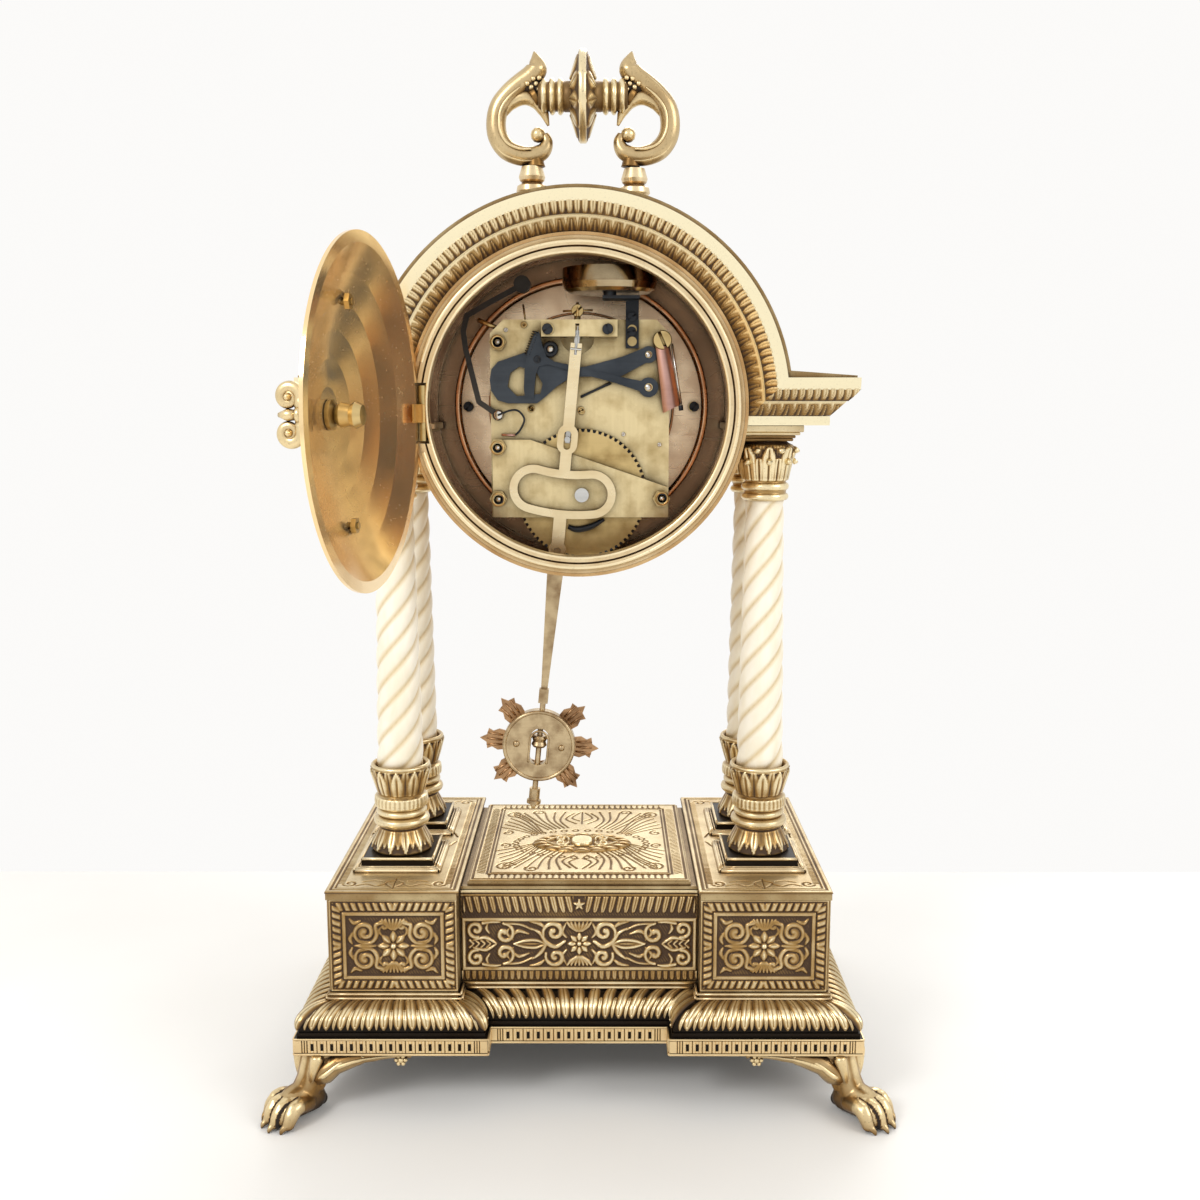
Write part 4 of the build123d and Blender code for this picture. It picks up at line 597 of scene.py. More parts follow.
bell_metal = bright("bell_metal", "CFBB96", "634A2C", 0.13, tarnish=0.5, near=0.03)
pendulum_brass = bright("pendulum_brass", "C9B48F", "75583A", 0.3, tarnish=0.7, cloud=140)
ray_bronze = bright("ray_bronze", "B9936C", "5E412C", 0.32, tarnish=0.7, cloud=150)
copper = bright("copper_strip", "CBA398", "8E665A", 0.28, tarnish=0.4)


def ivory():
    """Old ivory-coloured resin with faint upright veins, darker down its furrows, and painted shade where
    surfaces come close.
    """
    material, tree, shader = new_material("ivory_resin", Specular_IOR_Level=0.4, Subsurface_Weight=0.0)
    veins = noise(tree, 120, 6, (1, 1, 0.3), 0.6)
    furrow = put(tree, "ShaderNodeAttribute", {"attribute_name": "wear"}).outputs["Fac"]
    body = blend(tree, ramp(tree, veins, 0.35, 0.75), rgb("FAF4E4"), rgb("F0E5CB"))
    body = blend(tree, ramp(tree, furrow, 0.75, 0.15), body, rgb("D9C190"))
    # Painted shade: a brown tint where other surfaces come close.
    tree.links.new(contact_shaded(tree, body, "B79C6D", 0.004, 0.9, 0.35), shader.inputs["Base Color"])
    tree.links.new(sums(tree, "ADD", 0.28, sums(tree, "MULTIPLY", veins, 0.2)), shader.inputs["Roughness"])
    bump(tree, shader, noise(tree, 700, 3), 0.15, 0.0001)
    return material


def enamel(name, light, shade):
    """Glazed enamel, for the dial and for the ink on it."""
    material, tree, shader = new_material(name, Coat_Weight=0.4)
    group = put(tree, "ShaderNodeGroup", {"node_tree": GLAZE}, Light=rgb(light), Shade=rgb(shade))
    tree.links.new(group.outputs["Colour"], shader.inputs["Base Color"])
    tree.links.new(group.outputs["Roughness"], shader.inputs["Roughness"])
    bump(tree, shader, group.outputs["Height"], 0.06, 0.0001)
    return material


def clear_glass():
    """Clear glass with a few dull smears."""
    material, tree, shader = new_material("clear_glass", Metallic=0.0, Transmission_Weight=1.0, IOR=1.46)
    smear = ramp(tree, noise(tree, 40, 5), 0.55, 0.8)
    tree.links.new(sums(tree, "ADD", 0.01, sums(tree, "MULTIPLY", smear, 0.05)), shader.inputs["Roughness"])
    shader.inputs["Base Color"].default_value = (0.97, 0.98, 0.97, 1)
    return material


ivory_resin = ivory()
dial_white, dial_black = enamel("dial_enamel", "F3EDE0", "E7DECB"), enamel("dial_ink", "1A1714", "2A2520")
glass = clear_glass()

# Which finish each CAD node has.
FINISHES = {
    gilt_relief: "paw_foot_rear_left paw_foot_rear_right paw_foot_front_left paw_foot_front_right "
                 "top_medallion",
    gilt_plain: "column_bases column_capitals rear_ring handle_feet handle_scroll_left handle_scroll_right "
                "handle_bar bezel",
    gilt_engraved: "pedestal_left pedestal_right centre_box side_plates centre_top_plate arch_roof "
                   "cornice_rear cornice_front",
    black_patina: "column_plinths bottom_cover base_plinth",
    drum_gilt: "drum_shell",
    pan_metal: "dial_pan",
    ivory_resin: "column_shaft_rear_left column_shaft_rear_right column_shaft_front_left "
                 "column_shaft_front_right",
    door_gold: "rear_door",
    rim_gold: "door_knob door_leaf",
    dial_white: "dial",
    glass: "dial_glass",
    plate_brass: "movement_back_plate movement_front_plate barrel_bridge suspension_cock "
                 "movement_pillars",
    leader_brass: "pendulum_leader",
    nut_brass: "movement_screws",
    wheel_brass: "great_wheel frame_hinges door_fittings",
    bell_metal: "bell",
    bright_steel: "winding_arbor crutch suspension_spring column_tie_rods",
    blued_steel: "strike_rack rack_lever",
    blued_black: "bell_strap",
    black_steel: "bell_hammer minute_hand hour_hand",
    pendulum_brass: "pendulum_rod pendulum_bob rating_nut",
    ray_bronze: "bob_sunburst",
}
for finish, names in FINISHES.items():
    for node in names.split():
        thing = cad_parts[node]
        thing.data.materials.clear()
        thing.data.materials.append(finish)


# Base: dentil band and leaf flare


def base_corners(offset):
    """Corners of the base's near half, grown by an offset, from the left side round to the right side."""
    outer_x, near_y = PEDESTAL_X + offset, -PEDESTAL_Y - offset
    inner_x, centre_y = CENTRE_X - offset, -CENTRE_Y - offset
    corners = [(-outer_x, 0), (-outer_x, near_y), (-inner_x, near_y), (-inner_x, centre_y),
               (inner_x, centre_y), (inner_x, near_y), (outer_x, near_y), (outer_x, 0)]
    return [np.array(p, float) for p in corners]


def chamfered_pad(piece, place, s0, s1, u0, u1, low, high, wear=0.85, edge=0.18):
    """A small raised pad with bevelled edges; place turns (s, u, height) into a point."""
    inner = [(s0 + edge, u0 + edge), (s1 - edge, u0 + edge), (s1 - edge, u1 - edge), (s0 + edge, u1 - edge)]
    outer = [(s0, u0), (s1, u0), (s1, u1), (s0, u1)]
    points = [place(s, u, high) for s, u in inner] + [place(s, u, high - edge) for s, u in outer]
    points += [place(s, u, low) for s, u in outer]
    quads = [(0, 1, 2, 3)]
    for k in range(4):
        n = (k + 1) % 4
        quads += [(k, 4 + k, 4 + n, n), (4 + k, 8 + k, 8 + n, 4 + n)]
    piece.add(points, quads, wear=wear)


def make_dentil_band():
    """The band of bright square cells with a dark slot in each."""
    piece = Piece()
    corners = base_corners(12.6)
    slot, slot_low, slot_high = 0.6, 1.9, 4.9
    foot, head = 1.1, 6.1
    for i in range(7):
        a, b = corners[i], corners[i + 1]
        length = np.linalg.norm(b - a)
        along = (b - a) / length
        out = np.array([along[1], -along[0]])

        def place(s, u, h):
            p = a + along * s + out * h
            return (p[0], p[1], BAND_LOW + u)

        lead = 0.0 if i == 0 else (5.2 if length > 20 else 0.9)
        tail = 0.0 if i == 6 else (5.2 if length > 20 else 0.9)
        count = max(2, int(round((length - lead - tail) / 3.95)))
        pitch = (length - lead - tail) / count
        pads = []
        for k in range(count):
            s = lead + k * pitch
            mid = s + pitch / 2
            pads += [(s + 0.14, mid - slot, foot, head), (mid + slot, s + pitch - 0.14, foot, head),
                     (mid - slot, mid + slot, slot_high, head), (mid - slot, mid + slot, foot, slot_low)]
        if lead > 2:
            for start, end in ((0, lead - 2.2), (lead - 1.9, lead - 1.2), (lead - 0.9, lead - 0.2)):
                pads.append((start, end, foot, head))
        if tail > 2:
            last = length - tail
            for start, end in ((last + 2.2, length), (last + 0.2, last + 0.9), (last + 1.2, last + 1.9)):
                pads.append((start, end, foot, head))
        for pad in pads:
            chamfered_pad(piece, place, *pad, 0, 0.5)
        chamfered_pad(piece, place, 0, length, 0.0, 0.85, 0, 0.6)
        chamfered_pad(piece, place, 0, length, 6.35, 7.0, 0, 0.6)
    return piece.make("dentil_band", gilt_dentil, "case", "case_brass", flat=True, mirrors=(1,))


def make_leaf_flare():
    """Long ridged leaves side by side on the flare above the black fillets."""
    piece = Piece()
    low_offset, high_offset, low = 11.3, 1.3, FILLET_TOP - 0.6
    t = np.linspace(0, 1, 13)[:, None]
    x = np.linspace(-1, 1, 11)[None, :]
    phi = (1 - t) * pi / 2
    offset = high_offset + (low_offset - high_offset) * np.cos(phi)
    z = low + (GADROON_TOP - low) * np.sin(phi)
    foot = base_corners(low_offset)
    for i in range(7):
        length = np.linalg.norm(foot[i + 1] - foot[i])
        along = (foot[i + 1] - foot[i]) / length
        # The two short returns beside the centre box carry two leaves each and no corner leaf.
        short = length < 20
        if short:
            count, shares = 2, (0.33, 0.78)
        else:
            count = int(round(length / (5.1 if i == 3 else 5.6)))
            shares = [k / count for k in range(count + 1)] + [(k + 0.5) / count for k in range(count)]
        for share in shares:
            if i > 0 and share == 0:
                continue
            corner = share in (0, 1)
            between = not short and not corner and abs(share * count - round(share * count)) > 0.1
            across = x
            if (i == 0 and share == 0) or (i == 6 and share == 1):
                across, corner = (x + 1) / 2 if i == 0 else (x - 1) / 2, False
            wide = (5.0 if short else length / count) * (1.05 if corner else 0.98)
            half = wide / 2 * np.clip(np.sin(pi * (0.26 + 0.72 * t ** 1.3)), 0, 1) ** 0.6
            dome = np.sqrt(np.clip(1 - np.abs(across) ** 2.4, 0, 1))
            midrib = np.exp(-(across / 0.11) ** 2)
            side_ribs = np.exp(-((np.abs(across) - 0.52) / 0.08) ** 2)
            rib = 1 - 0.5 * midrib - 0.3 * side_ribs
            rise = 1.7 * np.sin(pi * (0.12 + 0.80 * t)) * dome * rib + 0.02
            if between:
                half, rise = half * 0.5 * (t > 0.4), rise * 0.75 * (t > 0.4)
            starts = [base_corners(o)[i] for o in offset[:, 0]]
            ends = [base_corners(o)[i + 1] for o in offset[:, 0]]
            centre = np.array([s + (e - s) * share for s, e in zip(starts, ends)])[:, None, :]
            out = np.array([along[1], -along[0]])
            side = np.array(along)
            if corner:
                turn = foot[(i + 2) % 8] - foot[i + 1]
                turn = turn / np.linalg.norm(turn)
                out = np.array([along[1] + turn[1], -along[0] - turn[0]])
                side = along + turn
                side = side / np.linalg.norm(side)
            lift = rise * (0.35 + 0.65 * np.cos(phi))
            p = centre + side * (across * half)[..., None] + out * lift[..., None]
            height = z + rise * np.sin(phi) * 0.9
            points = np.concatenate([p, height[..., None]], -1)
            wear = np.clip((0.02 + dome ** 3 * rib) * (0.66 + 0.3 * np.sin(pi * t)), 0, 1)
            piece.surface(points, wear, out=(out[0], out[1], 0.6))
            if not corner and not between:
                tip = centre[-1, 0] + out * 0.45
                piece.bead((tip[0], tip[1], FILLET_TOP + 0.5), 0.62, 0.7)
    return piece.make("leaf_flare", gilt_relief, "case", "case_brass", mirrors=(1,))


def make_ledges():
    """Small half-round beads along the ledge and the flare's foot."""
    piece = Piece()
    for offset, z, radius in ((1.5, GADROON_TOP + 0.75, 0.75), (1.1, GADROON_TOP + 2.5, 0.55)):
        for i in range(7):
            a, b = base_corners(offset)[i], base_corners(offset)[i + 1]
            steps = max(2, int(np.linalg.norm(b - a) / 6))
            path = np.linspace(np.append(a, z), np.append(b, z), steps)
            piece.rod(path, radius, 8, 0.8)
    return piece.make("ledge_beads", gilt_plain, "case", "case_brass", mirrors=(1,))


# Base: carved panels


def four_ways(h):
    """Heights mirrored both ways, keeping whichever is higher."""
    h = np.maximum(h, h[::-1])
    return np.maximum(h, h[:, ::-1])


def hatch_ground(carving):
    """Fine slanted tooling on the sunk ground."""
    s, u = carving.grid()
    carving.lift(0.17 * ridges(s + 0.6 * u, 1.15))


def tongue_border(carving, inset, width, pitch, depth, slant=0.5):
    """A frame of short slanted beads all round a panel."""
    s, u = carving.grid()
    length, height = carving.s[-1], carving.u[-1]
    ds, du = np.minimum(s, length - s), np.minimum(u, height - u)
    upright = ds < du
    near = np.where(upright, ds, du)
    along = np.where(upright, np.abs(u - height / 2), np.abs(s - length / 2))
    t = np.clip((near - inset) / width, 0, 1)
    inside = (near > inset) & (near < inset + width)
    rows = ridges(along + slant * (near - inset), pitch) * np.sqrt(np.clip(1 - (2 * t - 1) ** 4, 0, 1))
    carving.lift(np.where(inside, depth * rows, 0))


def square_frame(carving, inset, width, depth, s_room=(0, 0), u_room=(0, 0)):
    """A raised flat frame with softened edges."""
    s, u = carving.grid()
    near_s = np.minimum(s - s_room[0], carving.s[-1] - s_room[1] - s)
    near_u = np.minimum(u - u_room[0], carving.u[-1] - u_room[1] - u)
    near = np.minimum(near_s, near_u)
    x = (near - inset) / width
    carving.lift(np.where((x > 0) & (x < 1), depth * np.clip(6 * np.minimum(x, 1 - x), 0, 1), 0))


def sink_edges(carving, depth=0.5):
    """Bury the rim of a carving so that no gap shows beneath it."""
    carving.h[[0, -1], :] = -depth
    carving.h[:, [0, -1]] = -depth


def flower(carving, cs, cu, petals, inner, outer, width, depth, bead):
    """Straight petals round a bead."""
    for k in range(petals):
        a = 2 * pi * k / petals
        petal = [(cs + r * cos(a), cu + r * sin(a)) for r in (inner, (inner + outer) / 2, outer)]
        carving.stroke(petal, [0.35 * width, width, 0.35 * width], depth)
    carving.dab(cs, cu, bead, depth * 1.25)


def pedestal_carving(length, height):
    """Border of beads, flat frame and a panel of scrolls about an eight-petalled flower."""
    relief = Carving(length, height, 0.27)
    cs, cu = length / 2, height / 2
    relief.swell = 1.3
    spread = (length / 2 - 7.2) / 18.2

    def scroll(points, widths, depth):
        relief.stroke([(cs + x * spread, cu + y) for x, y in points], widths, depth)

    scroll(curl(11.2, 5.6, 4.7, 0.7, -80, 480, 18), [0.5, 0.9, 0.8, 1.2], 0.95)
    scroll([(12.2, 1.0), (8.6, 1.6), (6.6, 4.6), (6.9, 8.6), (4.2, 9.6)], [0.5, 0.85, 0.6], 0.9)
    scroll(curl(3.6, 8.3, 2.3, 0.5, 20, 300, 12), [0.7, 0.5, 0.8], 0.8)
    scroll([(13.0, 10.4), (15.4, 9.6), (17.2, 11.2)], [0.4, 0.8, 0.3], 0.8)
    scroll([(16.0, 5.5), (17.2, 3.0), (16.4, 0.8)], [0.4, 0.8, 0.3], 0.8)
    scroll([(7.2, 0), (11.5, 0), (15.5, 0)], [0.4, 1.15, 0.25], 0.9)
    scroll([(9.4, 1.7), (13.6, 2.2), (16.8, 5.2)], [0.3, 0.6, 0.25], 0.7)
    scroll(curl(11.4, 5.7, 2.8, 0.6, -60, 240, 10), [0.35, 0.5, 0.3], 0.6)
    scroll([(4.6, 4.4), (5.6, 6.2), (4.8, 8.0)], [0.3, 0.6, 0.25], 0.7)
    for k in (0.0, 1.1, 2.2, 3.2):
        relief.stroke([(cs + 0.25 * k, cu + 6.8), (cs + k, cu + 9.2), (cs + k * 1.35, cu + 11.0)],
                 [0.35, 0.6, 0.35], 0.8)
    relief.h = four_ways(relief.h)
    flower(relief, cs, cu, 8, 1.9, 5.9, 1.25, 0.95, 1.3)
    flower(relief, cs, cu, 8, 2.6, 5.1, 0.5, 1.25, 1.3)
    square_frame(relief, 5.1, 1.7, 0.8)
    tongue_border(relief, 1.1, 3.8, 2.9, 1.0, 0.35)
    square_frame(relief, 0.0, 0.9, 0.6)
    hatch_ground(relief)
    sink_edges(relief)
    return relief


def make_pedestal_panels():
    """Carved faces of the two pedestal boxes."""
    height = 38.6
    front = pedestal_carving(PEDESTAL_X - CENTRE_X, height)
    side = pedestal_carving(2 * PEDESTAL_Y, height)
    piece = Piece()
    for x0 in (-PEDESTAL_X, CENTRE_X):
        for sy in (-1, 1):
            piece.panel(front, (x0, sy * (PEDESTAL_Y + PROUD), LEDGE_TOP), (1, 0, 0), (0, 0, 1), (0, sy, 0))
    for sx in (-1, 1):
        piece.panel(side, (sx * (PEDESTAL_X + PROUD), -PEDESTAL_Y, LEDGE_TOP), (0, 1, 0), (0, 0, 1),
                    (sx, 0, 0))
    return piece.make("pedestal_panels", gilt_relief, "case", "case_brass")


def make_centre_panels():
    """The long panel between the pedestals, with its row of leaf tongues and its scrollwork."""
    relief = Carving(96.0, 39.2, 0.27)
    cs, cu = 48.0, 16.0
    relief.swell = 1.25

    def scroll(points, widths, depth=0.95):
        relief.stroke([(cs - x, cu + y) for x, y in points], widths, depth)

    scroll(curl(10.2, 4.9, 4.6, 0.7, -20, 430, 18), [0.6, 1.0, 0.8, 1.1])
    scroll(curl(9.6, -5.6, 4.2, 0.7, 20, -430, 18), [0.6, 1.0, 0.8, 1.1])
    scroll([(6.0, 1.0), (9.5, -1.2), (13.2, 0.4), (16.0, 4.6), (19.5, 6.6)], [0.6, 1.0, 0.8, 0.3])
    scroll([(13.2, 0.4), (15.5, -3.6), (19.0, -6.6)], [0.7, 0.9, 0.3])
    scroll([(13.4, 0), (17.5, 1.5), (22.0, 1.3), (26.5, 0)], [0.4, 0.75, 0.4])
    scroll([(13.4, 0), (17.5, -1.5), (22.0, -1.3), (26.5, 0)], [0.4, 0.75, 0.4])
    scroll([(14.5, 0), (20, 0), (25.5, 0)], [0.2, 0.5, 0.2], 0.7)
    for sign in (1, -1):
        stem = [(19.0, sign * 6.0), (24.0, sign * 8.2), (30.0, sign * 8.6)]
        scroll(stem + [(x, sign * y) for x, y in curl(30.4, 4.2, 4.4, 0.8, 90, 380, 16)],
               [0.4, 0.7, 0.9, 0.9, 1.1])
        scroll([(x, sign * y) for x, y in curl(41.8, 6.2, 3.6, 0.7, -100, 400, 14)], [0.8, 0.9, 1.0])
        scroll([(39.0, sign * 8.8), (35.5, sign * 9.4), (32.0, sign * 9.2)], [0.7, 0.7, 0.3])
        scroll([(34.0, sign * 0.4), (38.0, sign * 2.6), (43.0, sign * 1.6)], [0.4, 0.8, 0.4])
        scroll([(20.5, sign * 4.2), (24.5, sign * 5.4), (27.4, sign * 3.2)], [0.3, 0.8, 0.3], 0.8)
        scroll([(13.6, sign * 6.4), (16.2, sign * 8.6), (20.0, sign * 9.4)], [0.3, 0.8, 0.3], 0.8)
        scroll([(26.8, sign * 1.6), (29.2, sign * 4.4), (28.4, sign * 6.6)], [0.3, 0.7, 0.3], 0.8)
        scroll([(5.2, sign * 2.6), (6.8, sign * 5.0), (5.4, sign * 8.6)], [0.3, 0.7, 0.3], 0.8)
        scroll([(36.4, sign * 4.4), (37.6, sign * 6.6), (36.8, sign * 9.0)], [0.3, 0.7, 0.3], 0.8)
        for k in range(5):
            scroll([(33.6 + 2.3 * k, 0), (35.2 + 2.3 * k, sign * 1.5)], [0.35, 0.5], 0.8)
    for k in (0.0, 1.2, 2.4, 3.5):
        for sign in (1, -1):
            scroll([(0.3 * k, sign * 5.4), (k, sign * 7.4), (1.4 * k, sign * 9.2)], [0.4, 0.7, 0.4], 0.85)
    relief.h = np.maximum(relief.h, relief.h[::-1])
    flower(relief, cs, cu, 8, 1.5, 4.5, 1.0, 1.0, 1.1)
    square_frame(relief, 0.4, 1.7, 0.8, u_room=(4.1, 11.6))
    s, u = relief.grid()
    away = np.abs(s - cs)
    row = tongues(away + 0.22 * (36.0 - u), u + 0 * s, 3.1, 36.0, 29.2, 0.45)
    relief.lift(0.85 * row * (away > 2.4) * (away < 46.8))
    foot = tongues(away, u + 0 * s, 2.6, 4.3, 0.5, 0.3)
    relief.lift(0.7 * foot)
    relief.lift(np.where((u > 36.4) & (u < 37.3), 0.55, 0.0) + 0 * s)
    relief.lift(np.where(u > 37.8, 0.75, 0.0) + 0 * s)
    for k in range(5):
        a = pi / 2 + 2 * pi * k / 5
        relief.stroke([(cs, 32.6), (cs + 2.2 * cos(a), 32.6 + 2.2 * sin(a))], [0.9, 0.3], 1.0)
    hatch_ground(relief)
    sink_edges(relief)
    piece = Piece()
    for sy in (-1, 1):
        piece.panel(relief, (-48.0, sy * (CENTRE_Y + PROUD), LEDGE_TOP - 0.2), (1, 0, 0), (0, 0, 1),
                    (0, sy, 0))
    return piece.make("centre_panels", gilt_relief, "case", "case_brass")


# Base: engraved tops


def make_side_tops():
    """Engraved plates under the columns: a border line, corner curls, hatching and a pointed flower."""
    length, width = 53.0, 121.0
    relief = Carving(length, width, 0.3)
    relief.level = 0.55
    s, u = relief.grid()
    cs, cu = length / 2, width / 2
    relief.h += relief.level
    near = np.minimum(np.minimum(s, length - s), np.minimum(u, width - u))
    for inset, half in ((2.0, 0.45), (3.6, 0.3)):
        relief.h = np.where(np.abs(near - inset) < half, 0.12, relief.h)
    band = (np.abs(s - cs) > 20.0) & (np.abs(s - cs) < 22.4) & (np.abs(u - cu) < 52)
    relief.h = np.where(band & (ridges(u + 0 * s, 1.5, 0.55) < 0.15), 0.2, relief.h)
    for sign_u in (-1, 1):
        for sign_s in (-1, 1):
            def cut(points, wide=0.4, depth=0.45):
                relief.stroke([(cs + sign_s * x, cu + sign_u * y) for x, y in points], wide, depth, True)

            cut([(21.0 - x, 55.0 - y) for x, y in curl(3.2, 3.2, 3.0, 0.6, 200, 420, 14)], 0.42)
            cut([(3, 52.0), (7, 54.5), (11, 52.4), (15, 54.2)])
            cut([(0.6, 48.6), (3.6, 51.4), (0.8, 55.8)])
            cut([(5.0, 49.4), (9.0, 48.8), (13.0, 50.2)], 0.35, 0.4)
            cut([(1, 6), (7, 9), (12, 4), (16, 9), (19, 3)], 0.42)
            cut(curl(6.5, 3.0, 3.0, 0.6, 90, 400, 12))
        cut([(0, 46.6), (0, 57.0)])
    sink_edges(relief, 0.3)
    piece = Piece()
    worn = np.clip(0.05 + 1.3 * relief.h / relief.level * 0.6, 0.02, 0.72)
    for x0 in (-100.3, 47.3):
        piece.panel(relief, (x0, -cu, PLATE_TOP - 0.08), (1, 0, 0), (0, 1, 0), (0, 0, 1), worn)
    return piece.make("side_tops", gilt_relief, "case", "case_brass")


def make_centre_top():
    """The engraved plate between the pedestals with arched borders, corner leaves and an oval of rings."""
    length, width = 89.0, 97.0
    relief = Carving(length, width, 0.3)
    relief.level = 0.6
    s, u = relief.grid()
    cs, cu = length / 2, width / 2
    relief.h += relief.level
    near = np.minimum(np.minimum(s, length - s), np.minimum(u, width - u))
    for inset, wide in ((1.2, 0.35), (6.6, 0.35), (7.9, 0.3)):
        relief.h = np.where(np.abs(near - inset) < wide, 0.12, relief.h)
    ends = np.minimum(u, width - u) + 0 * s
    arches = tongues(s + 0 * u, ends, 2.6, 2.0, 6.0)
    relief.h = np.where((ends > 2.0) & (ends < 6.0) & (arches < 0.35) & (np.abs(s - cs) < cs - 7), 0.12,
                        relief.h)
    sides = np.minimum(s, length - s) + 0 * u
    band = (sides > 2.2) & (sides < 5.8) & (np.abs(u - cu) < cu - 7)
    relief.h = np.where(band & (ridges(u + 0.6 * sides, 1.7, 0.6) < 0.1), 0.15, relief.h)
    for ss in (-1, 1):
        for su in (-1, 1):
            def cut(points):
                relief.stroke([(cs + ss * x, cu + su * y) for x, y in points], 0.42, 0.5, True)

            for k in range(6):
                f = k / 5
                tip = (31 + 5.0 * f, 17 + 19 * (1 - f) - 2 * f)
                cut([(17.0 + 4 * f, 8.0 - 2 * f), (24 + 6 * f, 12 + 14 * (1 - f)), tip])
                cut([(6.0 + 9 * f, 14.5 - 2.5 * f), (10 + 13 * f, 25 - 2 * f), (8 + 24.0 * f, 37 - 2 * f)])
            cut(curl(31.0, 33.5, 4.6, 0.8, 200, 500, 16))
            cut(curl(20.0, 36.0, 3.0, 0.6, -30, 420, 14))
            cut(curl(33.0, 8.0, 2.8, 0.6, 90, 420, 14))
            cut([(1.0, 24), (4.6, 28.5), (1.2, 36.0)])
            cut([(2.6, 20), (7.4, 27.0), (4.0, 35.0)])
        cut([(0, 20), (0, 37)])
    for k in range(34):
        a = 2 * pi * k / 34
        ps, pu = cs + 28.5 * cos(a), cu - 6 + 17.0 * sin(a)
        ring = np.hypot(s - ps, u - pu)
        relief.h = np.where(np.abs(ring - 1.25) < 0.3, 0.15, relief.h)
    sink_edges(relief, 0.3)
    piece = Piece()
    worn = np.clip(0.05 + 0.78 * relief.h / relief.level, 0.02, 0.72)
    piece.panel(relief, (-cs, -cu, PLATE_TOP + PROUD), (1, 0, 0), (0, 1, 0), (0, 0, 1), worn)
    return piece.make("centre_top", gilt_relief, "case", "case_brass")


def make_medallion():
    """The raised oval: a wreath rim, a lobed shell and small scrolls, with a plain shield in the middle."""
    length, width = 45.6, 25.6
    relief = Carving(length, width, 0.25)
    s, u = relief.grid()
    cs, cu = length / 2, width / 2
    x, y = (s - cs) / 21.6, (u - cu) / 11.4
    r = np.hypot(x, y)
    turn = np.arctan2(y, x)
    relief.lift(1.1 * np.sqrt(np.clip(1 - r ** 2, 0, 1)))
    lobes = np.abs(np.sin(9 * turn)) ** 0.6
    rim = 1.9 * np.sqrt(np.clip(1 - ((r - 0.83) / 0.17) ** 2, 0, 1))
    relief.lift(np.where((r > 0.66) & (r < 1.0), rim * (0.45 + 0.55 * lobes), 0))
    for ss in (-1, 1):
        for su in (-1, 1):
            for points, widths, depth in ((curl(8.8, 2.6, 3.1, 0.6, 200, -430, 14), [0.7, 0.9, 0.7], 2.3),
                                          ([(3.2, 5.6), (8.0, 6.8), (13.0, 3.0), (15.5, 0.4)],
                                           [0.4, 0.8, 0.4], 2.1)):
                relief.stroke([(cs + ss * a, cu + su * b) for a, b in points], widths, depth)
    relief.lift(np.where((np.abs(s - cs) / 4.6) ** 2.4 + (np.abs(u - cu) / 5.2) ** 2.4 < 1, 2.5, 0))
    relief.h = np.where(r > 1.0, -1.0, blurred(relief.h, 1))
    piece = Piece()
    piece.panel(relief, (0.5 - cs, -6 - cu, PLATE_TOP + 0.3), (1, 0, 0), (0, 1, 0), (0, 0, 1))
    thing = piece.make("oval_medallion", gilt_relief, "case", "case_brass")
    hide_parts("top_medallion")
    return thing


def make_plinth_caps():
    """Bright bevelled edges round the black column plinths."""
    piece = Piece()
    edges = ((17.0, PLATE_TOP + 0.95, 1.1), (16.2, PLATE_TOP + 1.5, 0.8), (14.5, BLOCK_TOP - 0.35, 0.65),
             (15.1, PLATE_TOP + 1.9, 0.6))
    for x, y in COLUMNS:
        for half, z, radius in edges:
            ring = [(x - half, y - half, z), (x + half, y - half, z), (x + half, y + half, z),
                    (x - half, y + half, z)]
            for k in range(4):
                piece.rod(np.linspace(ring[k], ring[(k + 1) % 4], 6), radius, 6, 0.85)
    return piece.make("plinth_edges", gilt_plain, "case", "case_brass")


# Columns


def around(angle, count):
    """Place within each of a number of equal shares of a turn, from -1 to 1."""
    x = angle / (2 * pi) * count
    return (x - np.floor(x) - 0.5) * 2


def leaf_ring(angle, z, count, z0, z1, depth, shift=0.0, rib=0.5, point=1.6, root=0.62):
    """Upright pointed leaves round a turned shape, their points at z1."""
    t = np.clip((z - z0) / (z1 - z0), 0, 1)
    x = around(angle + shift * 2 * pi / count, count)
    belly = root + (1 - root) * np.sin(pi * np.clip(t * 1.25, 0, 1))
    half = belly * np.clip(1 - t ** point, 0, 1) ** 0.7 + 1e-5
    dome = np.sqrt(np.clip(1 - (x / half) ** 2, 0, 1))
    inside = (z - z0) * (z - z1) <= 0
    return np.where(inside, depth * (0.45 + 0.55 * t) * dome * (1 - rib * np.exp(-(x / 0.12) ** 2)), 0.0)


def even_profile(outline, step):
    """An outline's points at even steps along it."""
    outline = np.array(outline)
    run = np.concatenate([[0], np.cumsum(np.hypot(*np.diff(outline, axis=0).T))])
    fine = np.arange(0, run[-1], step)
    return np.stack([np.interp(fine, run, outline[:, 0]), np.interp(fine, run, outline[:, 1])], 1)


def upright(x, y, radius, angle, z):
    """Points round an upright axis at (x, y)."""
    round_x, round_y = radius * np.cos(angle)[:, None], radius * np.sin(angle)[:, None]
    return np.stack([x + round_x, y + round_y, z + 0 * radius], -1)


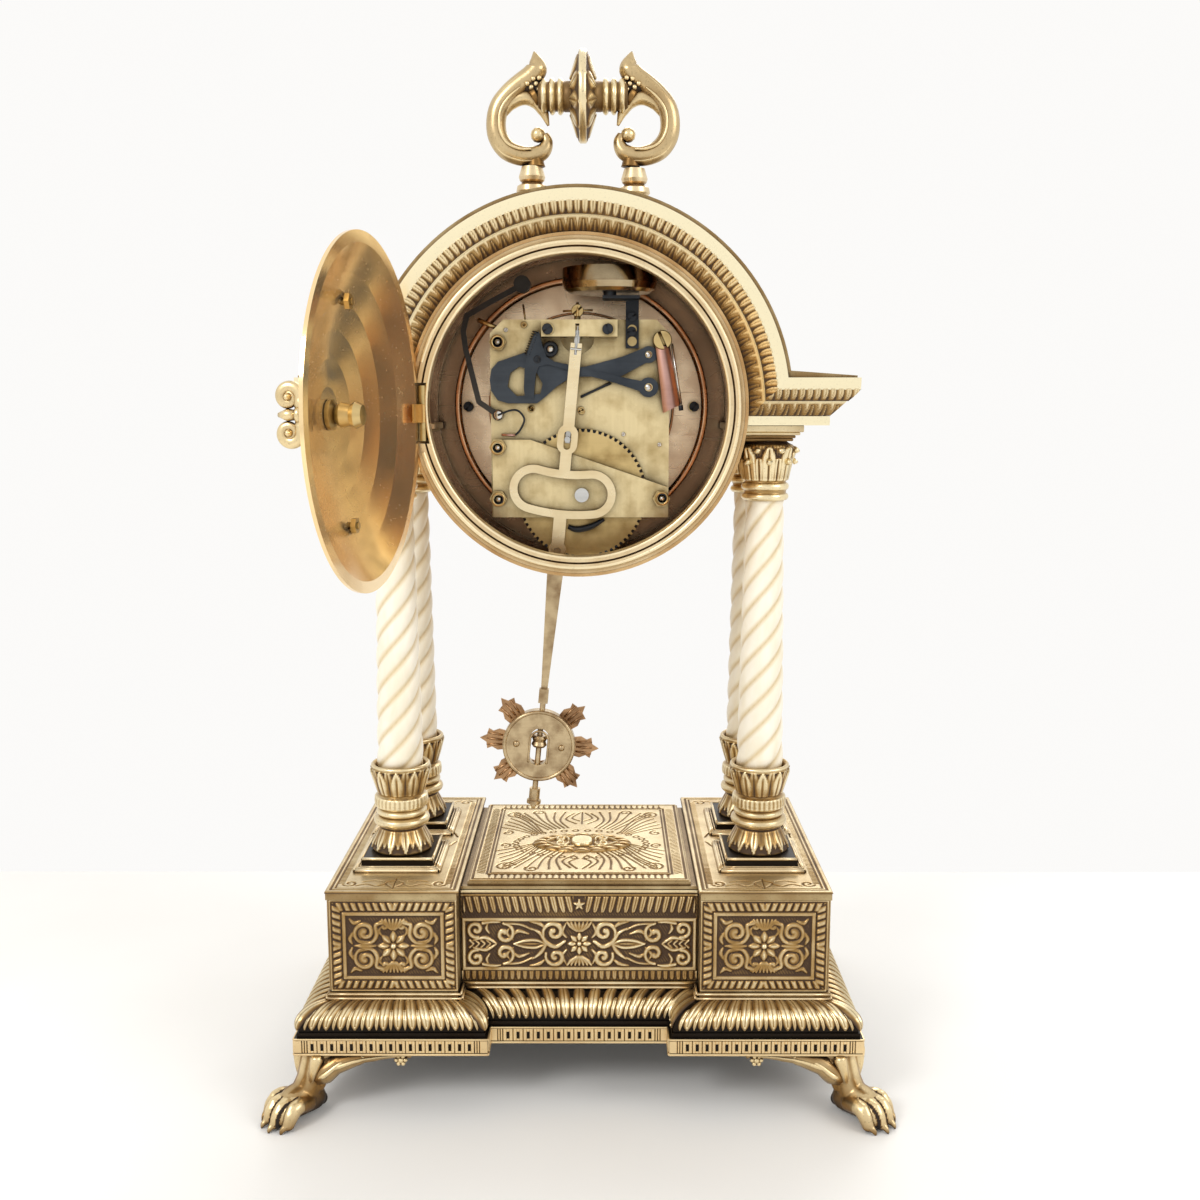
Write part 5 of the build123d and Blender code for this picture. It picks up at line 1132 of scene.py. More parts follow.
def add_column_base(piece, x, y):
    """Leaf skirt, twin rounds, reeded ring and leafed cup with a notched lip."""
    lip = CUP_TOP
    outline = [(3.2, BLOCK_TOP), (12.2, BLOCK_TOP), (12.6, 94.7), (12.3, 95.6), (11.6, 97.5), (10.6, 99.6),
               (9.3, 102.4), (8.8, 104.0), (8.9, 104.6), (10.6, 104.9), (11.4, 105.7), (11.7, 106.8),
               (11.3, 107.9), (10.2, 108.5), (9.0, 108.8), (9.8, 109.2), (10.5, 110.0), (10.4, 111.0),
               (9.6, 111.8), (9.2, 112.2), (10.2, 112.5), (10.9, 113.1), (11.0, 115.0), (10.8, 117.1),
               (9.8, 117.6), (9.2, 118.2), (9.5, 119.6), (10.2, 122.4), (10.9, 125.6), (11.7, 128.4),
               (12.3, lip - 0.6), (11.6, lip + 0.2), (10.4, lip - 0.4), (9.9, lip - 2.2), (9.9, lip - 5.8)]
    profile = even_profile(outline, 0.34)
    outer = np.linspace(0, 1, len(profile)) < 0.86

    def carve(angle, z):
        h = leaf_ring(angle, z, 12, 103.6, 94.5, 1.2, 0.0, 0.5)
        h = np.maximum(h, 0.75 * leaf_ring(angle, z, 12, 103.6, 96.5, 1.0, 0.5, 0.3))
        h = h + np.where((z > 112.7) & (z < 117.2), 0.55 * (ridges(angle / (2 * pi) * 34, 1.0) - 0.6), 0)
        h = np.maximum(h, leaf_ring(angle, z, 10, 118.6, 129.4, 1.5, 0.0, 0.5, 2.6, 0.8))
        h = np.maximum(h, leaf_ring(angle, z, 10, 118.6, 130.6, 0.9, 0.5, 0.5, 2.6, 0.8))
        h = h + np.where(z > 129.0, 0.45 * np.abs(np.sin(angle * 10)), 0)
        return np.where(outer, h, 0)

    sides = 150
    angle = np.linspace(0, 2 * pi, sides, endpoint=False)
    raised = carve(angle[:, None], profile[None, :, 1])
    smooth = blurred(np.repeat(profile[None, :, 0], sides, 0) + raised, 3)
    wear = np.clip(0.42 + 0.5 * raised + 0.9 * (profile[None, :, 0] + raised - smooth), 0, 1)
    leafy = ((profile[:, 1] < 104) | (profile[:, 1] > 118.4))[None, :] * outer[None, :]
    wear = np.where(leafy, np.clip(wear - 0.34 + 0.25 * raised, 0, 1), np.clip(wear + 0.25, 0, 1))
    r = profile[None, :, 0] + raised
    piece.surface(upright(x, y, r, angle, profile[None, :, 1]), wear, close_s=True)


def make_column_bases():
    """The turned and leafed bases of the four columns."""
    piece = Piece()
    for x, y in COLUMNS:
        add_column_base(piece, x, y)
    thing = piece.make("column_base_leaves", gilt_relief, "case", "case_brass")
    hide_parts("column_bases")


def make_shafts():
    """Five-start twisted shafts that taper upwards."""
    low, high = CUP_TOP - 5.9, SHAFT_TOP
    z = np.linspace(low, high, 150)
    angle = np.linspace(0, 2 * pi, 96, endpoint=False)
    radius = np.interp(z, [low, CUP_TOP, high], [9.65, 9.65, 7.75])
    phase = 5 * angle[:, None] - 2 * pi * z[None, :] / 10.9
    groove = np.abs(np.sin(phase / 2)) ** 0.8
    fade = np.clip((high - z) / 2.5, 0, 1) * np.clip((z - low) / 2.5, 0, 1)
    r = radius[None, :] - 1.05 * fade[None, :] * (1 - groove)
    wear = 0.2 + 0.8 * groove
    for x, y in COLUMNS:
        piece = Piece()
        piece.surface(upright(x, y, r, angle, z[None, :]), wear, close_s=True)
        ends = "rear" if y < 0 else "front"
        side = "left" if x < 0 else "right"
        thing = piece.make(f"twisted_shaft_{ends}_{side}", ivory_resin, "case", "column_resin")
        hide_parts(f"column_shaft_{ends}_{side}")


def make_capitals():
    """Two rings, a bell of leaves whose tips curl out, and a hollowed neck under a square cap."""
    foot = SHAFT_TOP + 7.1
    top = 264.2
    outline = [(7.6, SHAFT_TOP), (8.6, SHAFT_TOP), (9.3, 241.2), (9.5, 242.0), (9.2, 242.9), (8.4, 243.4),
               (8.5, 244.4), (9.3, 245.1), (9.6, 246.1), (9.2, 247.1), (8.3, 247.7), (8.4, 249.5),
               (8.8, 252.5), (9.4, 256.0), (10.3, 259.5), (11.0, 261.6), (10.6, 262.6), (9.0, 263.4),
               (8.0, top)]
    profile = even_profile(outline, 0.36)
    sides = 144
    angle = np.linspace(0, 2 * pi, sides, endpoint=False)
    a, z = angle[:, None], profile[None, :, 1]
    h = leaf_ring(a, z, 8, foot + 0.8, 257.6, 1.5, 0.0, 0.6, 3.2, 0.9)
    h = np.maximum(h, leaf_ring(a, z, 8, foot + 0.8, 262.2, 2.0, 0.5, 0.6, 3.2, 0.9))
    h = h + np.where((z > foot + 1) & (z < 262.6), 0.25 * np.abs(np.sin(a * 24)), 0)
    smooth = blurred(np.repeat(profile[None, :, 0], sides, 0) + h, 3)
    wear = np.clip(0.20 + 0.5 * h + 1.1 * (profile[None, :, 0] + h - smooth), 0, 1)
    wear = np.where(z < foot + 0.6, np.clip(wear + 0.5, 0, 0.95), wear)
    wear = np.where(z > 262.9, 0.05, wear)
    piece, square = Piece(), Piece()
    for x, y in COLUMNS:
        r = profile[None, :, 0] + h
        piece.surface(upright(x, y, r, angle, z), wear, close_s=True)
        for k in range(16):
            turn = 2 * pi * k / 16
            tall = k % 2
            zt, rt = (261.4, 11.7) if tall else (256.8, 10.9)
            curl_path = []
            for j in range(7):
                f = j / 6
                rr = rt + 1.5 * sin(pi * f * 0.8)
                zz = zt - 1.4 + 2.6 * f - 2.2 * f ** 3
                curl_path.append((x + rr * cos(turn), y + rr * sin(turn), zz))
            piece.rod(curl_path, np.array([1.0, 1.25, 1.35, 1.3, 1.15, 0.9, 0.5]), 8, 0.85)
        for half, z0, z1 in ((9.6, top, 265.4), (10.4, 265.4, 266.6), (12.0, 266.6, 267.8),
                             (13.2, 267.8, CAPITAL_TOP)):
            square.block(x - half, x + half, y - half, y + half, z0, z1, 0.8 if half > 11 else 0.3, 0.35)
    thing = piece.make("capital_leaves", gilt_relief, "case", "case_brass")
    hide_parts("column_capitals")
    square.make("capital_caps", gilt_relief, "case", "case_brass", flat=True)


# Cornice and arch


def cornice_point(part, share, offset, back):
    """A point on the cornice: parts 0 and 4 are the wings' ends, 1 and 3 the wings, 2 the arch."""
    r = ARCH_RADIUS - offset
    z_wing = CORNICE_TOP - offset
    rise = z_wing - DIAL_Z
    xj = np.sqrt(np.maximum(r ** 2 - rise ** 2, 1.0))
    aj = np.arctan2(rise, xj)
    end_x, end_y = CORNICE_X - back, CORNICE_Y - back
    if part == 2:
        a = pi - aj - (pi - 2 * aj) * share
        return r * np.cos(a), -end_y + 0 * a, DIAL_Z + r * np.sin(a)
    x_wing = -end_x + (end_x - xj) * share
    if part == 1:
        return x_wing, -end_y + 0 * x_wing, z_wing + 0 * x_wing
    if part == 0:
        y = -end_y * share
        return -end_x + 0 * y, y, z_wing + 0 * y
    if part == 3:
        return xj + (end_x - xj) * share, -end_y + 0 * x_wing, z_wing + 0 * x_wing
    y = -end_y * (1 - share)
    return end_x + 0 * y, y, z_wing + 0 * y


def moulding_strip(piece, offset0, back0, offset1, back1, rise, rows, pitch, pattern, bulge=0.5, base=0.06,
                   parts=range(5)):
    """One carved band of the cornice, from one offset to another, over the wings and the arch."""
    lengths = {0: 46.0, 1: 28.0, 2: 240.0, 3: 28.0, 4: 46.0}
    for part in parts:
        cols = int(lengths[part] / 0.42)
        share = np.linspace(0, 1, cols)[:, None]
        t = np.linspace(0, 1, rows)[None, :]
        offset = offset0 + (offset1 - offset0) * t + 0 * share
        back = back0 + (back1 - back0) * t + 0 * share
        x, y, z = cornice_point(part, share + 0 * t, offset, back)
        run = {0: y, 1: x, 2: 74.0 * np.arctan2(x, z - DIAL_Z), 3: x, 4: y}[part]
        h = rise * pattern(run / pitch + 0.5, t) * np.ones_like(offset) + base
        swell = bulge * np.sin(pi * t)
        n = np.array([back1 - back0, offset1 - offset0], float)
        n /= np.hypot(*n)
        # A point moves out by lessening its offset, towards the rim, and its setback.
        lift = h + swell
        x, y, z = cornice_point(part, share + 0 * t, offset - n[0] * lift, back - n[1] * lift)
        points = np.stack(np.broadcast_arrays(x, y, z), -1)
        worn = np.clip(0.1 + 0.9 * (h - base) / rise, 0, 1)
        outward = (0, -1, 0) if part in (1, 2, 3) else ((-1, 0, 0) if part == 0 else (1, 0, 0))
        piece.surface(points, worn, out=outward)


def make_cornice_bands():
    """The carved mouldings of the near and far cornices."""

    def flat(s, t):
        return 1.0 + 0 * s * t

    def row(s, t):
        return tongues(s, t, 1.0, 0.02, 0.98, 0.75)

    def darts(s, t):
        """Pointed leaves with a rib, a bar across their roots and small darts between."""
        x = (s - np.floor(s) - 0.5) * 2
        leaf = np.clip(1 - np.abs(x) / (0.92 * np.clip(1.05 - t, 0, 1) ** 0.55 + 1e-5), 0, 1) ** 0.5
        leaf = leaf * (1 - 0.7 * np.exp(-((np.abs(x) - 0.42 * (1 - t)) / 0.10) ** 2))
        between = 0.75 * np.exp(-((np.abs(x) - 1) / 0.13) ** 2) * (t > 0.3)
        bar = 0.9 * (t < 0.14)
        return np.maximum(np.maximum(leaf * (t > 0.17), between), bar)

    piece = Piece()
    moulding_strip(piece, 4.5, 0.2, 8.8, 3.8, 1.0, 15, 2.9, row, 0.5)
    moulding_strip(piece, 9.9, 5.4, 14.6, 9.8, 1.3, 17, 4.8, darts, 0.7)
    piece.make("cornice_leaves", gilt_relief, "case", "case_brass", mirrors=(1,))
    plain = Piece()
    moulding_strip(plain, 0.0, 0.0, 4.5, 0.15, 0.12, 5, 9.0, flat, 0.05)
    moulding_strip(plain, 8.7, 4.0, 9.9, 5.4, 0.25, 6, 9.0, flat, 0.25)
    moulding_strip(plain, 14.5, 9.9, 18.0, 9.9, 0.2, 6, 9.0, flat, 0.1, parts=(0, 1, 3, 4))
    moulding_strip(plain, 18.0, 9.8, 18.05, 14.6, 0.05, 6, 9.0, flat, 0.0, parts=(0, 1, 3, 4))
    plain.make("cornice_fillets", gilt_pale, "case", "case_brass", mirrors=(1,))


def make_roof_pattern():
    """Rows of small leaves over the vaulted roof and the wing tops."""
    piece = Piece()
    a0 = atan2(11.2, 81.0)
    arc = ROOF_RADIUS * (pi - 2 * a0)
    relief = Carving(arc, 98.0, 0.55)
    s, u = relief.grid()
    rows = np.floor(u / 9.8)
    x = around(2 * pi * (s / 8.0 + 0.5 * (rows % 2)), 1)
    t = (u / 9.8 - rows)
    half = 0.85 * np.sin(pi * np.clip(t * 0.95 + 0.03, 0, 1)) + 1e-5
    leaf = np.sqrt(np.clip(1 - (x / half) ** 2, 0, 1))
    relief.lift(0.35 * leaf * (1 - 0.6 * np.exp(-(x / 0.12) ** 2)))
    sink_edges(relief, 0.2)

    def bend(s, u, h):
        a = pi - a0 - s / ROOF_RADIUS
        r = ROOF_RADIUS + PROUD + h
        return np.stack([r * np.cos(a), u - 49.0, DIAL_Z + r * np.sin(a)], -1)

    piece.carved(relief, bend, out=(0, 0, 1), gain=0.5)
    return piece.make("roof_leaves", gilt_relief, "case", "case_brass")


# Handle


def make_handle_scrolls():
    """Cast C scrolls that sweep up into a horn, with an inner curl, a ball, rims and bead clusters."""
    xc, zc = -24.8, 391.3
    for side, name in ((-1, "left"), (1, "right")):
        piece = Piece()
        flip = -side

        def rod(path, radii, wear=0.75, sides=14):
            line, wide = smooth_line(path, radii, 0.6)
            piece.rod(line * np.array([flip, 1, 1]) + np.array([HANDLE_X, 0, 0]), wide, sides, wear)

        def at(points, y=0.0, grow=1.0):
            return [(xc + grow * x, y, zc + grow * z) for x, z in points]

        sweep = [(9.2, -5.0), (10.2, -8.0), (8.6, -11.4), (4.6, -13.2), (-0.8, -13.1), (-6.2, -10.8),
                 (-9.6, -6.0), (-10.3, 0.0), (-8.8, 5.8), (-5.0, 10.6), (-0.4, 14.4), (4.0, 17.4),
                 (6.3, 20.2), (6.0, 23.4), (5.2, 26.8)]
        rod(at(sweep), [1.7, 2.4, 3.2, 3.7, 4.0, 4.1, 4.1, 4.0, 4.0, 4.0, 4.1, 4.3, 4.2, 2.7, 0.3], 0.7)
        for y in (-2.5, 2.5):
            rod(at(sweep[3:12], y, 1.17), [0.4] + [0.85] * 7 + [0.4], 1.0, 8)
            rod(at(sweep[3:11], 1.5 * y, 0.86), [0.3] + [0.6] * 6 + [0.3], 0.95, 8)
        rod(at([(-7.0, 3.0), (-4.0, 7.0), (0.8, 9.2), (5.4, 8.0), (8.6, 4.2), (10.8, -1.6)]),
            [1.4, 2.5, 2.9, 2.9, 2.3, 0.5], 0.78)
        rod(at([(1.6, 13.4), (6.6, 13.0), (10.4, 10.2)]), [3.0, 3.7, 3.4], 0.15)
        rod([(xc + 5.6, 0, 373.6), (xc + 5.4, 0, 376.4), (xc + 4.6, 0, 379.0)], [3.9, 3.2, 3.4], 0.4)
        piece.bead((flip * (xc + 6.6) + HANDLE_X, 0, zc - 5.2), 3.1, 0.85, (1, 1.1, 1))
        rod([(xc + 4.5, 0, HANDLE_Z - 1.2), (-18.4, 0, HANDLE_Z)], [4.0, 4.6], 0.45, 20)
        cluster = ((5.0, 15.6), (7.3, 15.9), (6.1, 13.7), (8.5, 13.8), (4.2, 12.4), (7.2, 11.6),
                   (9.5, 11.4), (2.6, 13.8))
        for dx, dz in cluster:
            for sign in (-1, 1):
                piece.bead((flip * (xc + dx) + HANDLE_X, 3.4 * sign, zc + dz), 1.1, 0.95)
        thing = piece.make(f"handle_scroll_cast_{name}", gilt_cast, "case", "case_brass")
        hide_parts(f"handle_scroll_{name}")


def make_handle_bar():
    """Ringed grip and a lens-shaped disc whose two cones carry embossed leaves."""
    piece = Piece()
    half = [(0.2, -18.0), (5.2, -18.0), (5.9, -17.2)]
    for k in range(3):
        x = -16.0 + 3.3 * k
        half += [(5.7, x - 0.9), (6.6, x - 0.6), (7.1, x), (7.0, x + 0.7), (6.3, x + 1.3), (5.7, x + 1.6)]
    half += [(5.9, -7.2), (5.9, -4.9), (7.0, -4.9)]
    cone = [(7.0 + 10.4 * t, -4.9 + 3.5 * t ** 0.9) for t in np.linspace(0.03, 1, 26)]
    profile = np.array(half + cone + [(17.8, -1.2), (17.8, 0.0)])
    profile = np.concatenate([profile, (profile * np.array([1, -1]))[::-1][1:]])
    radius, along = profile[None, :, 0], profile[None, :, 1]
    angle = np.linspace(0, 2 * pi, 120, endpoint=False)
    t = np.clip((radius - 7.2) / 9.4, 0, 1)
    x = around(angle[:, None], 10)
    half = 0.9 * np.sin(pi * np.clip(0.1 + 0.9 * t, 0, 1)) ** 0.8 + 1e-5
    leaf = np.sqrt(np.clip(1 - (x / half) ** 2, 0, 1)) * (1 - 0.6 * np.exp(-(x / 0.12) ** 2))
    leaf = np.where((radius > 7.2) & (np.abs(along) > 1.25), leaf, 0.0)
    raised = along + np.sign(along) * 0.9 * leaf
    r = radius + 0 * leaf
    y, z = r * np.cos(angle)[:, None], r * np.sin(angle)[:, None]
    points = np.stack([HANDLE_X + raised, y, HANDLE_Z + z], -1)
    disc = (radius > 7.2) & (radius < 17.3)
    wear = np.where(disc, 0.12 + 0.85 * leaf, np.where(radius > 6.1, 0.88, 0.25))
    piece.surface(points, wear, close_s=True)
    thing = piece.make("handle_grip", gilt_relief, "case", "case_brass")
    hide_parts("handle_bar")


# Paws


def strokes_to_mesh(strokes, voxel):
    """Join tapering strokes of balls into one smooth skin."""
    mesh = bmesh.new()
    for path, radii in strokes:
        line, wide = smooth_line(path, radii, 0.9)
        for p, r in zip(line, wide):
            ball = bmesh.ops.create_icosphere(mesh, subdivisions=2, radius=r)
            bmesh.ops.translate(mesh, verts=ball["verts"], vec=Vector(p))
    data = bpy.data.meshes.new("paw_lump")
    mesh.to_mesh(data)
    mesh.free()
    lump = bpy.data.objects.new("paw_lump", data)
    bpy.context.scene.collection.objects.link(lump)
    remesh = lump.modifiers.new("skin", "REMESH")
    remesh.mode, remesh.voxel_size = "VOXEL", voxel
    smooth = lump.modifiers.new("smooth", "SMOOTH")
    smooth.factor, smooth.iterations = 0.5, 3
    done = bpy.data.meshes.new_from_object(lump.evaluated_get(bpy.context.evaluated_depsgraph_get()))
    count = len(done.vertices)
    points = np.empty(count * 3)
    done.vertices.foreach_get("co", points)
    quads = np.array([list(f.vertices) for f in done.polygons if len(f.vertices) == 4])
    tris = np.array([list(f.vertices) for f in done.polygons if len(f.vertices) == 3])
    bpy.data.objects.remove(lump)
    bpy.data.meshes.remove(data)
    bpy.data.meshes.remove(done)
    return points.reshape(-1, 3), quads, tris


def make_paws():
    """Lion paws with four toes and claws, a maned leg and two leafed brackets with bead rosettes."""
    strokes = []

    def stroke(points, radii):
        """A tapering stroke through points given as (along the diagonal, across it, height)."""
        path = [(PAW_X + DIAGONAL * along - DIAGONAL * across, PAW_Y + DIAGONAL * along + DIAGONAL * across,
                 z) for along, across, z in points]
        strokes.append((path, radii))

    stroke([(-13, 0, 24.0), (-10.5, 0, 20.0), (-7, 0, 14.5), (-4.5, 0, 9.5)], [8.6, 7.2, 5.4, 5.8])
    stroke([(-7.5, 0, 6.0), (-1, 0, 7.4), (3, 0, 7.6)], [5.4, 6.6, 5.0])
    for toe in (-6.6, -2.3, 2.3, 6.6):
        reach = 9.8 if abs(toe) < 4 else 7.2
        stroke([(-3, toe * 0.7, 7.0), (reach - 4.0, toe * 0.95, 8.2), (reach - 0.8, toe * 1.03, 6.0),
                (reach + 0.6, toe * 1.05, 3.4)], [3.0, 3.1, 3.0, 2.6])
        stroke([(reach - 1.6, toe, 9.0), (reach + 0.4, toe * 1.03, 7.2)], [1.9, 1.5])
        stroke([(reach + 1.8, toe * 1.05, 3.2), (reach + 3.6, toe * 1.06, 2.0),
                (reach + 4.3, toe * 1.06, 0.9)], [1.5, 1.1, 0.6])
    stroke([(-9.5, 0, 5.2), (-11.5, 0, 3.6)], [3.6, 2.6])
    for side in (-1, 1):
        stroke([(-12, side * 3.5, 22), (-9.5, side * 4.6, 15.0), (-8.5, side * 5.0, 11.0)], [3.4, 2.6, 1.2])
        stroke([(-6, side * 6.4, 24), (-5.0, side * 5.2, 18.5), (-4.6, side * 3.8, 13.5)], [2.6, 1.8, 0.8])
    stroke([(-3.6, 0, 13.4), (-6.0, 0, 17.8), (-8.4, 0, 23.4)], [1.0, 1.5, 1.3])
    points, quads, tris = strokes_to_mesh(strokes, 0.5)
    points[:, 2] = (points[:, 2] - points[:, 2].min()) * 1.03
    points = np.clip(points, (0, 0, 0.0), (124.6, 84.6, PAW_TOP))
    away_x, away_y = (points[:, 0] - PAW_X) * DIAGONAL, (points[:, 1] - PAW_Y) * DIAGONAL
    along, across = away_x + away_y, -away_x + away_y
    wear = np.clip(0.30 + 0.042 * (points[:, 2] - 4) + 0.02 * along, 0.10, 0.85)
    gap = np.min(np.abs(np.abs(across)[:, None] - np.array([0.0, 4.55])[None, :]), 1)
    toes = np.where(gap < 0.42, 0.05, np.clip(wear + 0.2, 0, 0.95))
    wear = np.where((along > 1.5) & (points[:, 2] < 11), toes, wear)
    hollow = 0.25 * np.exp(-((np.abs(across) - 2.4) / 0.9) ** 2)
    wear = np.where(points[:, 2] > 12, np.clip(wear - hollow, 0, 1), wear)
    piece = Piece()
    piece.add(points, quads, tris if len(tris) else None, wear)
    for sx in (1, 0):
        def wing(a, d, z):
            """a runs inwards along the base, d is how far out from the band's foot."""
            return (PAW_X - 4.5 - a, PAW_Y - 6.0 + d, z) if sx else (PAW_X - 6.0 + d, PAW_Y - 4.5 - a, z)

        for width, drop, reach, front in ((4.6, 11.4, 19.0, 2.8), (4.0, 7.6, 29.0, 2.4),
                                          (3.0, 4.8, 38.0, 2.0)):
            path = [wing(1.0, -1.0, PAW_TOP - drop), wing(reach * 0.35, front, PAW_TOP - drop * 0.72),
                    wing(reach * 0.7, front, 25.2 - drop * 0.25), wing(reach, front, 23.8)]
            line, wide = smooth_line(path, [width, width * 1.1, width * 0.75, 0.5], 0.8)
            line[:, 2] = np.minimum(line[:, 2], 25.9 - wide * 0.9)
            piece.rod(line, wide, 10, 0.62)
            ridge = line.copy()
            ridge[:, 1 if sx else 0] += wide * 0.85
            piece.rod(ridge, wide * 0.24, 6, 0.95)
        leaves = ((1.5, 12.5, 3.2), (6.0, 15.6, 3.6), (10.6, 18.4, 3.4), (15.4, 20.4, 3.0),
                  (20.4, 21.8, 2.6))
        for start, low, front in leaves:
            leaf = [wing(start, 0.4, 25.2), wing(start + 1.6, front, (25.2 + low) / 2 + 1.0),
                    wing(start + 3.4, front * 0.8, low)]
            line, wide = smooth_line(leaf, [1.9, 2.1, 0.3], 0.7)
            piece.rod(line, wide, 10, 0.5)
            line[:, 1 if sx else 0] += wide * 0.85
            piece.rod(line, wide * 0.28, 6, 0.95)
        for k in range(7):
            a = 2 * pi * k / 6
            r = 0.0 if k == 6 else 1.75
            piece.bead(wing(36.6 + r * cos(a), 1.8, 21.9 + r * sin(a)), 1.35 if k == 6 else 1.0, 0.95)
        piece.rod([wing(34.0, 0.4, 24.6), wing(38.5, 0.6, 24.0), wing(40.6, 0.8, 22.6)], [1.6, 1.4, 0.8], 8,
                  0.6)
        piece.rod([wing(0, -2, 24.6), wing(20.0, 0.2, 24.9), wing(38, 0.0, 24.9)], [1.6, 1.4, 1.2], 8, 0.4)
    names = {(-1, -1): "rear_left", (1, -1): "rear_right", (-1, 1): "front_left", (1, 1): "front_right"}
    for (sx, sy), name in names.items():
        copy = Piece()
        for p, w in zip(piece.points, piece.wear):
            copy.points.append(p * np.array([sx, sy, 1]))
            copy.wear.append(w)
        copy.quads = [q if sx * sy > 0 else q[:, ::-1] for q in piece.quads]
        copy.tris = [q if sx * sy > 0 else q[:, ::-1] for q in piece.tris]
        copy.count = piece.count
        thing = copy.make(f"lion_paw_{name}", gilt_cast, "case", "case_brass")
        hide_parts(f"paw_foot_{name}")


# Rear ring, door and knob


def swing_open(points):
    """From the closed door's place to its open one."""
    c, s = cos(DOOR_ANGLE), sin(DOOR_ANGLE)
    x, y = points[:, 0] - HINGE[0], points[:, 1] - HINGE[1]
    return np.stack([HINGE[0] + c * x - s * y, HINGE[1] + s * x + c * y, points[:, 2]], 1)


def make_door_knob():
    """A collared stem with two volutes that curl inwards round a middle leaf."""
    seat, z0 = -62.1, DOOR_Z
    piece = Piece()
    piece.turned([(1.9, 2.4), (1.9, 0.2), (4.5, 0.0), (4.6, -1.0), (4.3, -2.2), (3.0, -3.0), (2.4, -3.6),
                  (3.6, -4.2), (3.9, -4.9), (3.6, -5.7), (2.5, -6.3), (2.2, -7.2), (2.9, -8.2), (3.0, -9.2),
                  (2.0, -10.4), (0.1, -10.6)], (0, seat, z0), "Y", 32,
                 wear=np.array([0.3, 0.3, 0.9, 0.9, 0.8, 0.4, 0.2, 0.7, 0.95, 0.7, 0.2, 0.2, 0.8, 0.8, 0.6,
                                0.6]))
    for side in (-1, 1):
        path = [(0, seat - 7.4, z0 + side * 1.0), (0, seat - 8.0, z0 + side * 4.2)]
        path += [(0, seat - 12.4 + a, z0 + side * (6.1 + b)) for a, b in curl(0, 0, 3.9, 0.7, -10, 520, 22)]
        line, wide = smooth_line(path, [1.5, 1.7] + list(np.linspace(1.35, 0.85, len(path) - 2)), 0.5)
        piece.rod(line, wide, 12, 0.82, 1.7)
        piece.bead((0, seat - 12.4, z0 + side * 6.1), 1.5, 0.95, (1.9, 1, 1))
    piece.rod([(0, seat - 9.0, z0), (0, seat - 13.0, z0), (0, seat - 16.2, z0)], [1.6, 2.2, 0.8], 12, 0.85,
              1.2)
    thing = piece.make("scroll_knob", gilt_cast, "rear_door", "door_brass", move=swing_open)
    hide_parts("door_knob")


def make_ring_lip():
    """Polished half-rounds on the rear ring, and the bright step round the dial pan."""
    piece = Piece()
    for radius, y, r in ((61.8, -45.4, 0.8), (58.1, -45.35, 0.7)):
        # The outer round stops short of the door's hinge, on the left.
        hinge_gap = 16 if radius > 60 else 1.1
        angle = np.radians(np.linspace(hinge_gap - 180, 180 - hinge_gap, 160))
        phi = np.linspace(0, 2 * pi, 14, endpoint=False)
        rr = radius + r * np.cos(phi)[None, :]
        x, z = rr * np.cos(angle)[:, None], DIAL_Z + rr * np.sin(angle)[:, None]
        points = np.stack([x, y + r * np.sin(phi)[None, :] + 0 * x, z], -1)
        piece.surface(points, 0.92, close_s=radius < 60, close_u=True)
    piece.make("ring_rounds", gilt_plain, "case", "drum_brass")
    step = Piece()
    step.turned([(53.2, 34.7), (53.4, 34.2), (55.6, 33.9), (56.2, 34.4), (56.2, 34.8)], (0, 0, DIAL_Z), "Y",
                140, 0.8)
    step.turned([(40.0, 34.75), (40.2, 34.45), (40.9, 34.45), (41.1, 34.75)], (0, 0, DIAL_Z), "Y", 120, 0.8)
    step.make("pan_steps", copper_glow, "case", "drum_brass")


# Movement


def slotted_head(piece, x, y, z, radius, height, turn, wear=0.8):
    """A screw head that faces the rear, made of two halves with the slot between them."""
    gap, corners = 0.17 * radius, 14
    for half in (0, 1):
        start = np.arcsin(gap / radius)
        a = np.linspace(start, pi - start, corners) + pi * half
        rim = []
        for rr, yy in ((radius, y), (radius, y - height * 0.8), (radius * 0.92, y - height)):
            ring = np.stack([rr * np.cos(a), rr * np.sin(a)], 1)
            ring[:, 1] = np.where(half, np.minimum(ring[:, 1], -gap), np.maximum(ring[:, 1], gap))
            c, s = cos(turn), sin(turn)
            rim.append(np.stack([x + c * ring[:, 0] - s * ring[:, 1], np.full(corners, yy),
                                 z + s * ring[:, 0] + c * ring[:, 1]], 1))
        piece.surface(np.array(rim).transpose(1, 0, 2), wear)
        piece.add(rim[2], tris=[(0, k, k + 1) for k in range(1, corners - 1)], wear=wear)
        wall = np.array([rim[0][0], rim[0][-1], rim[1][-1], rim[2][-1], rim[2][0], rim[1][0]])
        piece.add(wall, quads=[(0, 1, 2, 5), (5, 2, 3, 4)], wear=0.2)
    piece.turned([(radius * 0.93, 0.0), (radius * 0.93, -height * 0.35), (0.01, -height * 0.35)], (x, y, z),
                 "Y", 24, 0.1)


def collar(piece, x, y, z, radius, height, hole, wear=0.8):
    """A small turned ring or bush that faces the rear."""
    piece.turned([(radius, 0.0), (radius, -height * 0.7), (radius * 0.86, -height), (hole, -height),
                  (hole * 0.9, -height * 0.4), (0.01, -height * 0.4)], (x, y, z), "Y", 28,
                 np.array([0.3, wear, wear, wear, 0.05, 0.15]))


PIVOTS_RINGED = [(-20.3, -0.8), (0.4, -1.1), (-20.1, -0.6), (0.7, -1.8), (-23.5, -17.1), (-13.5, -18.5),
                 (-22.9, 33.4)]
PIVOTS_SMALL = [(18.1, -11.2), (33.1, -15.5), (25.2, -36.9), (-30.4, 31.4), (-28.6, 15.3), (18.3, 15.7)]


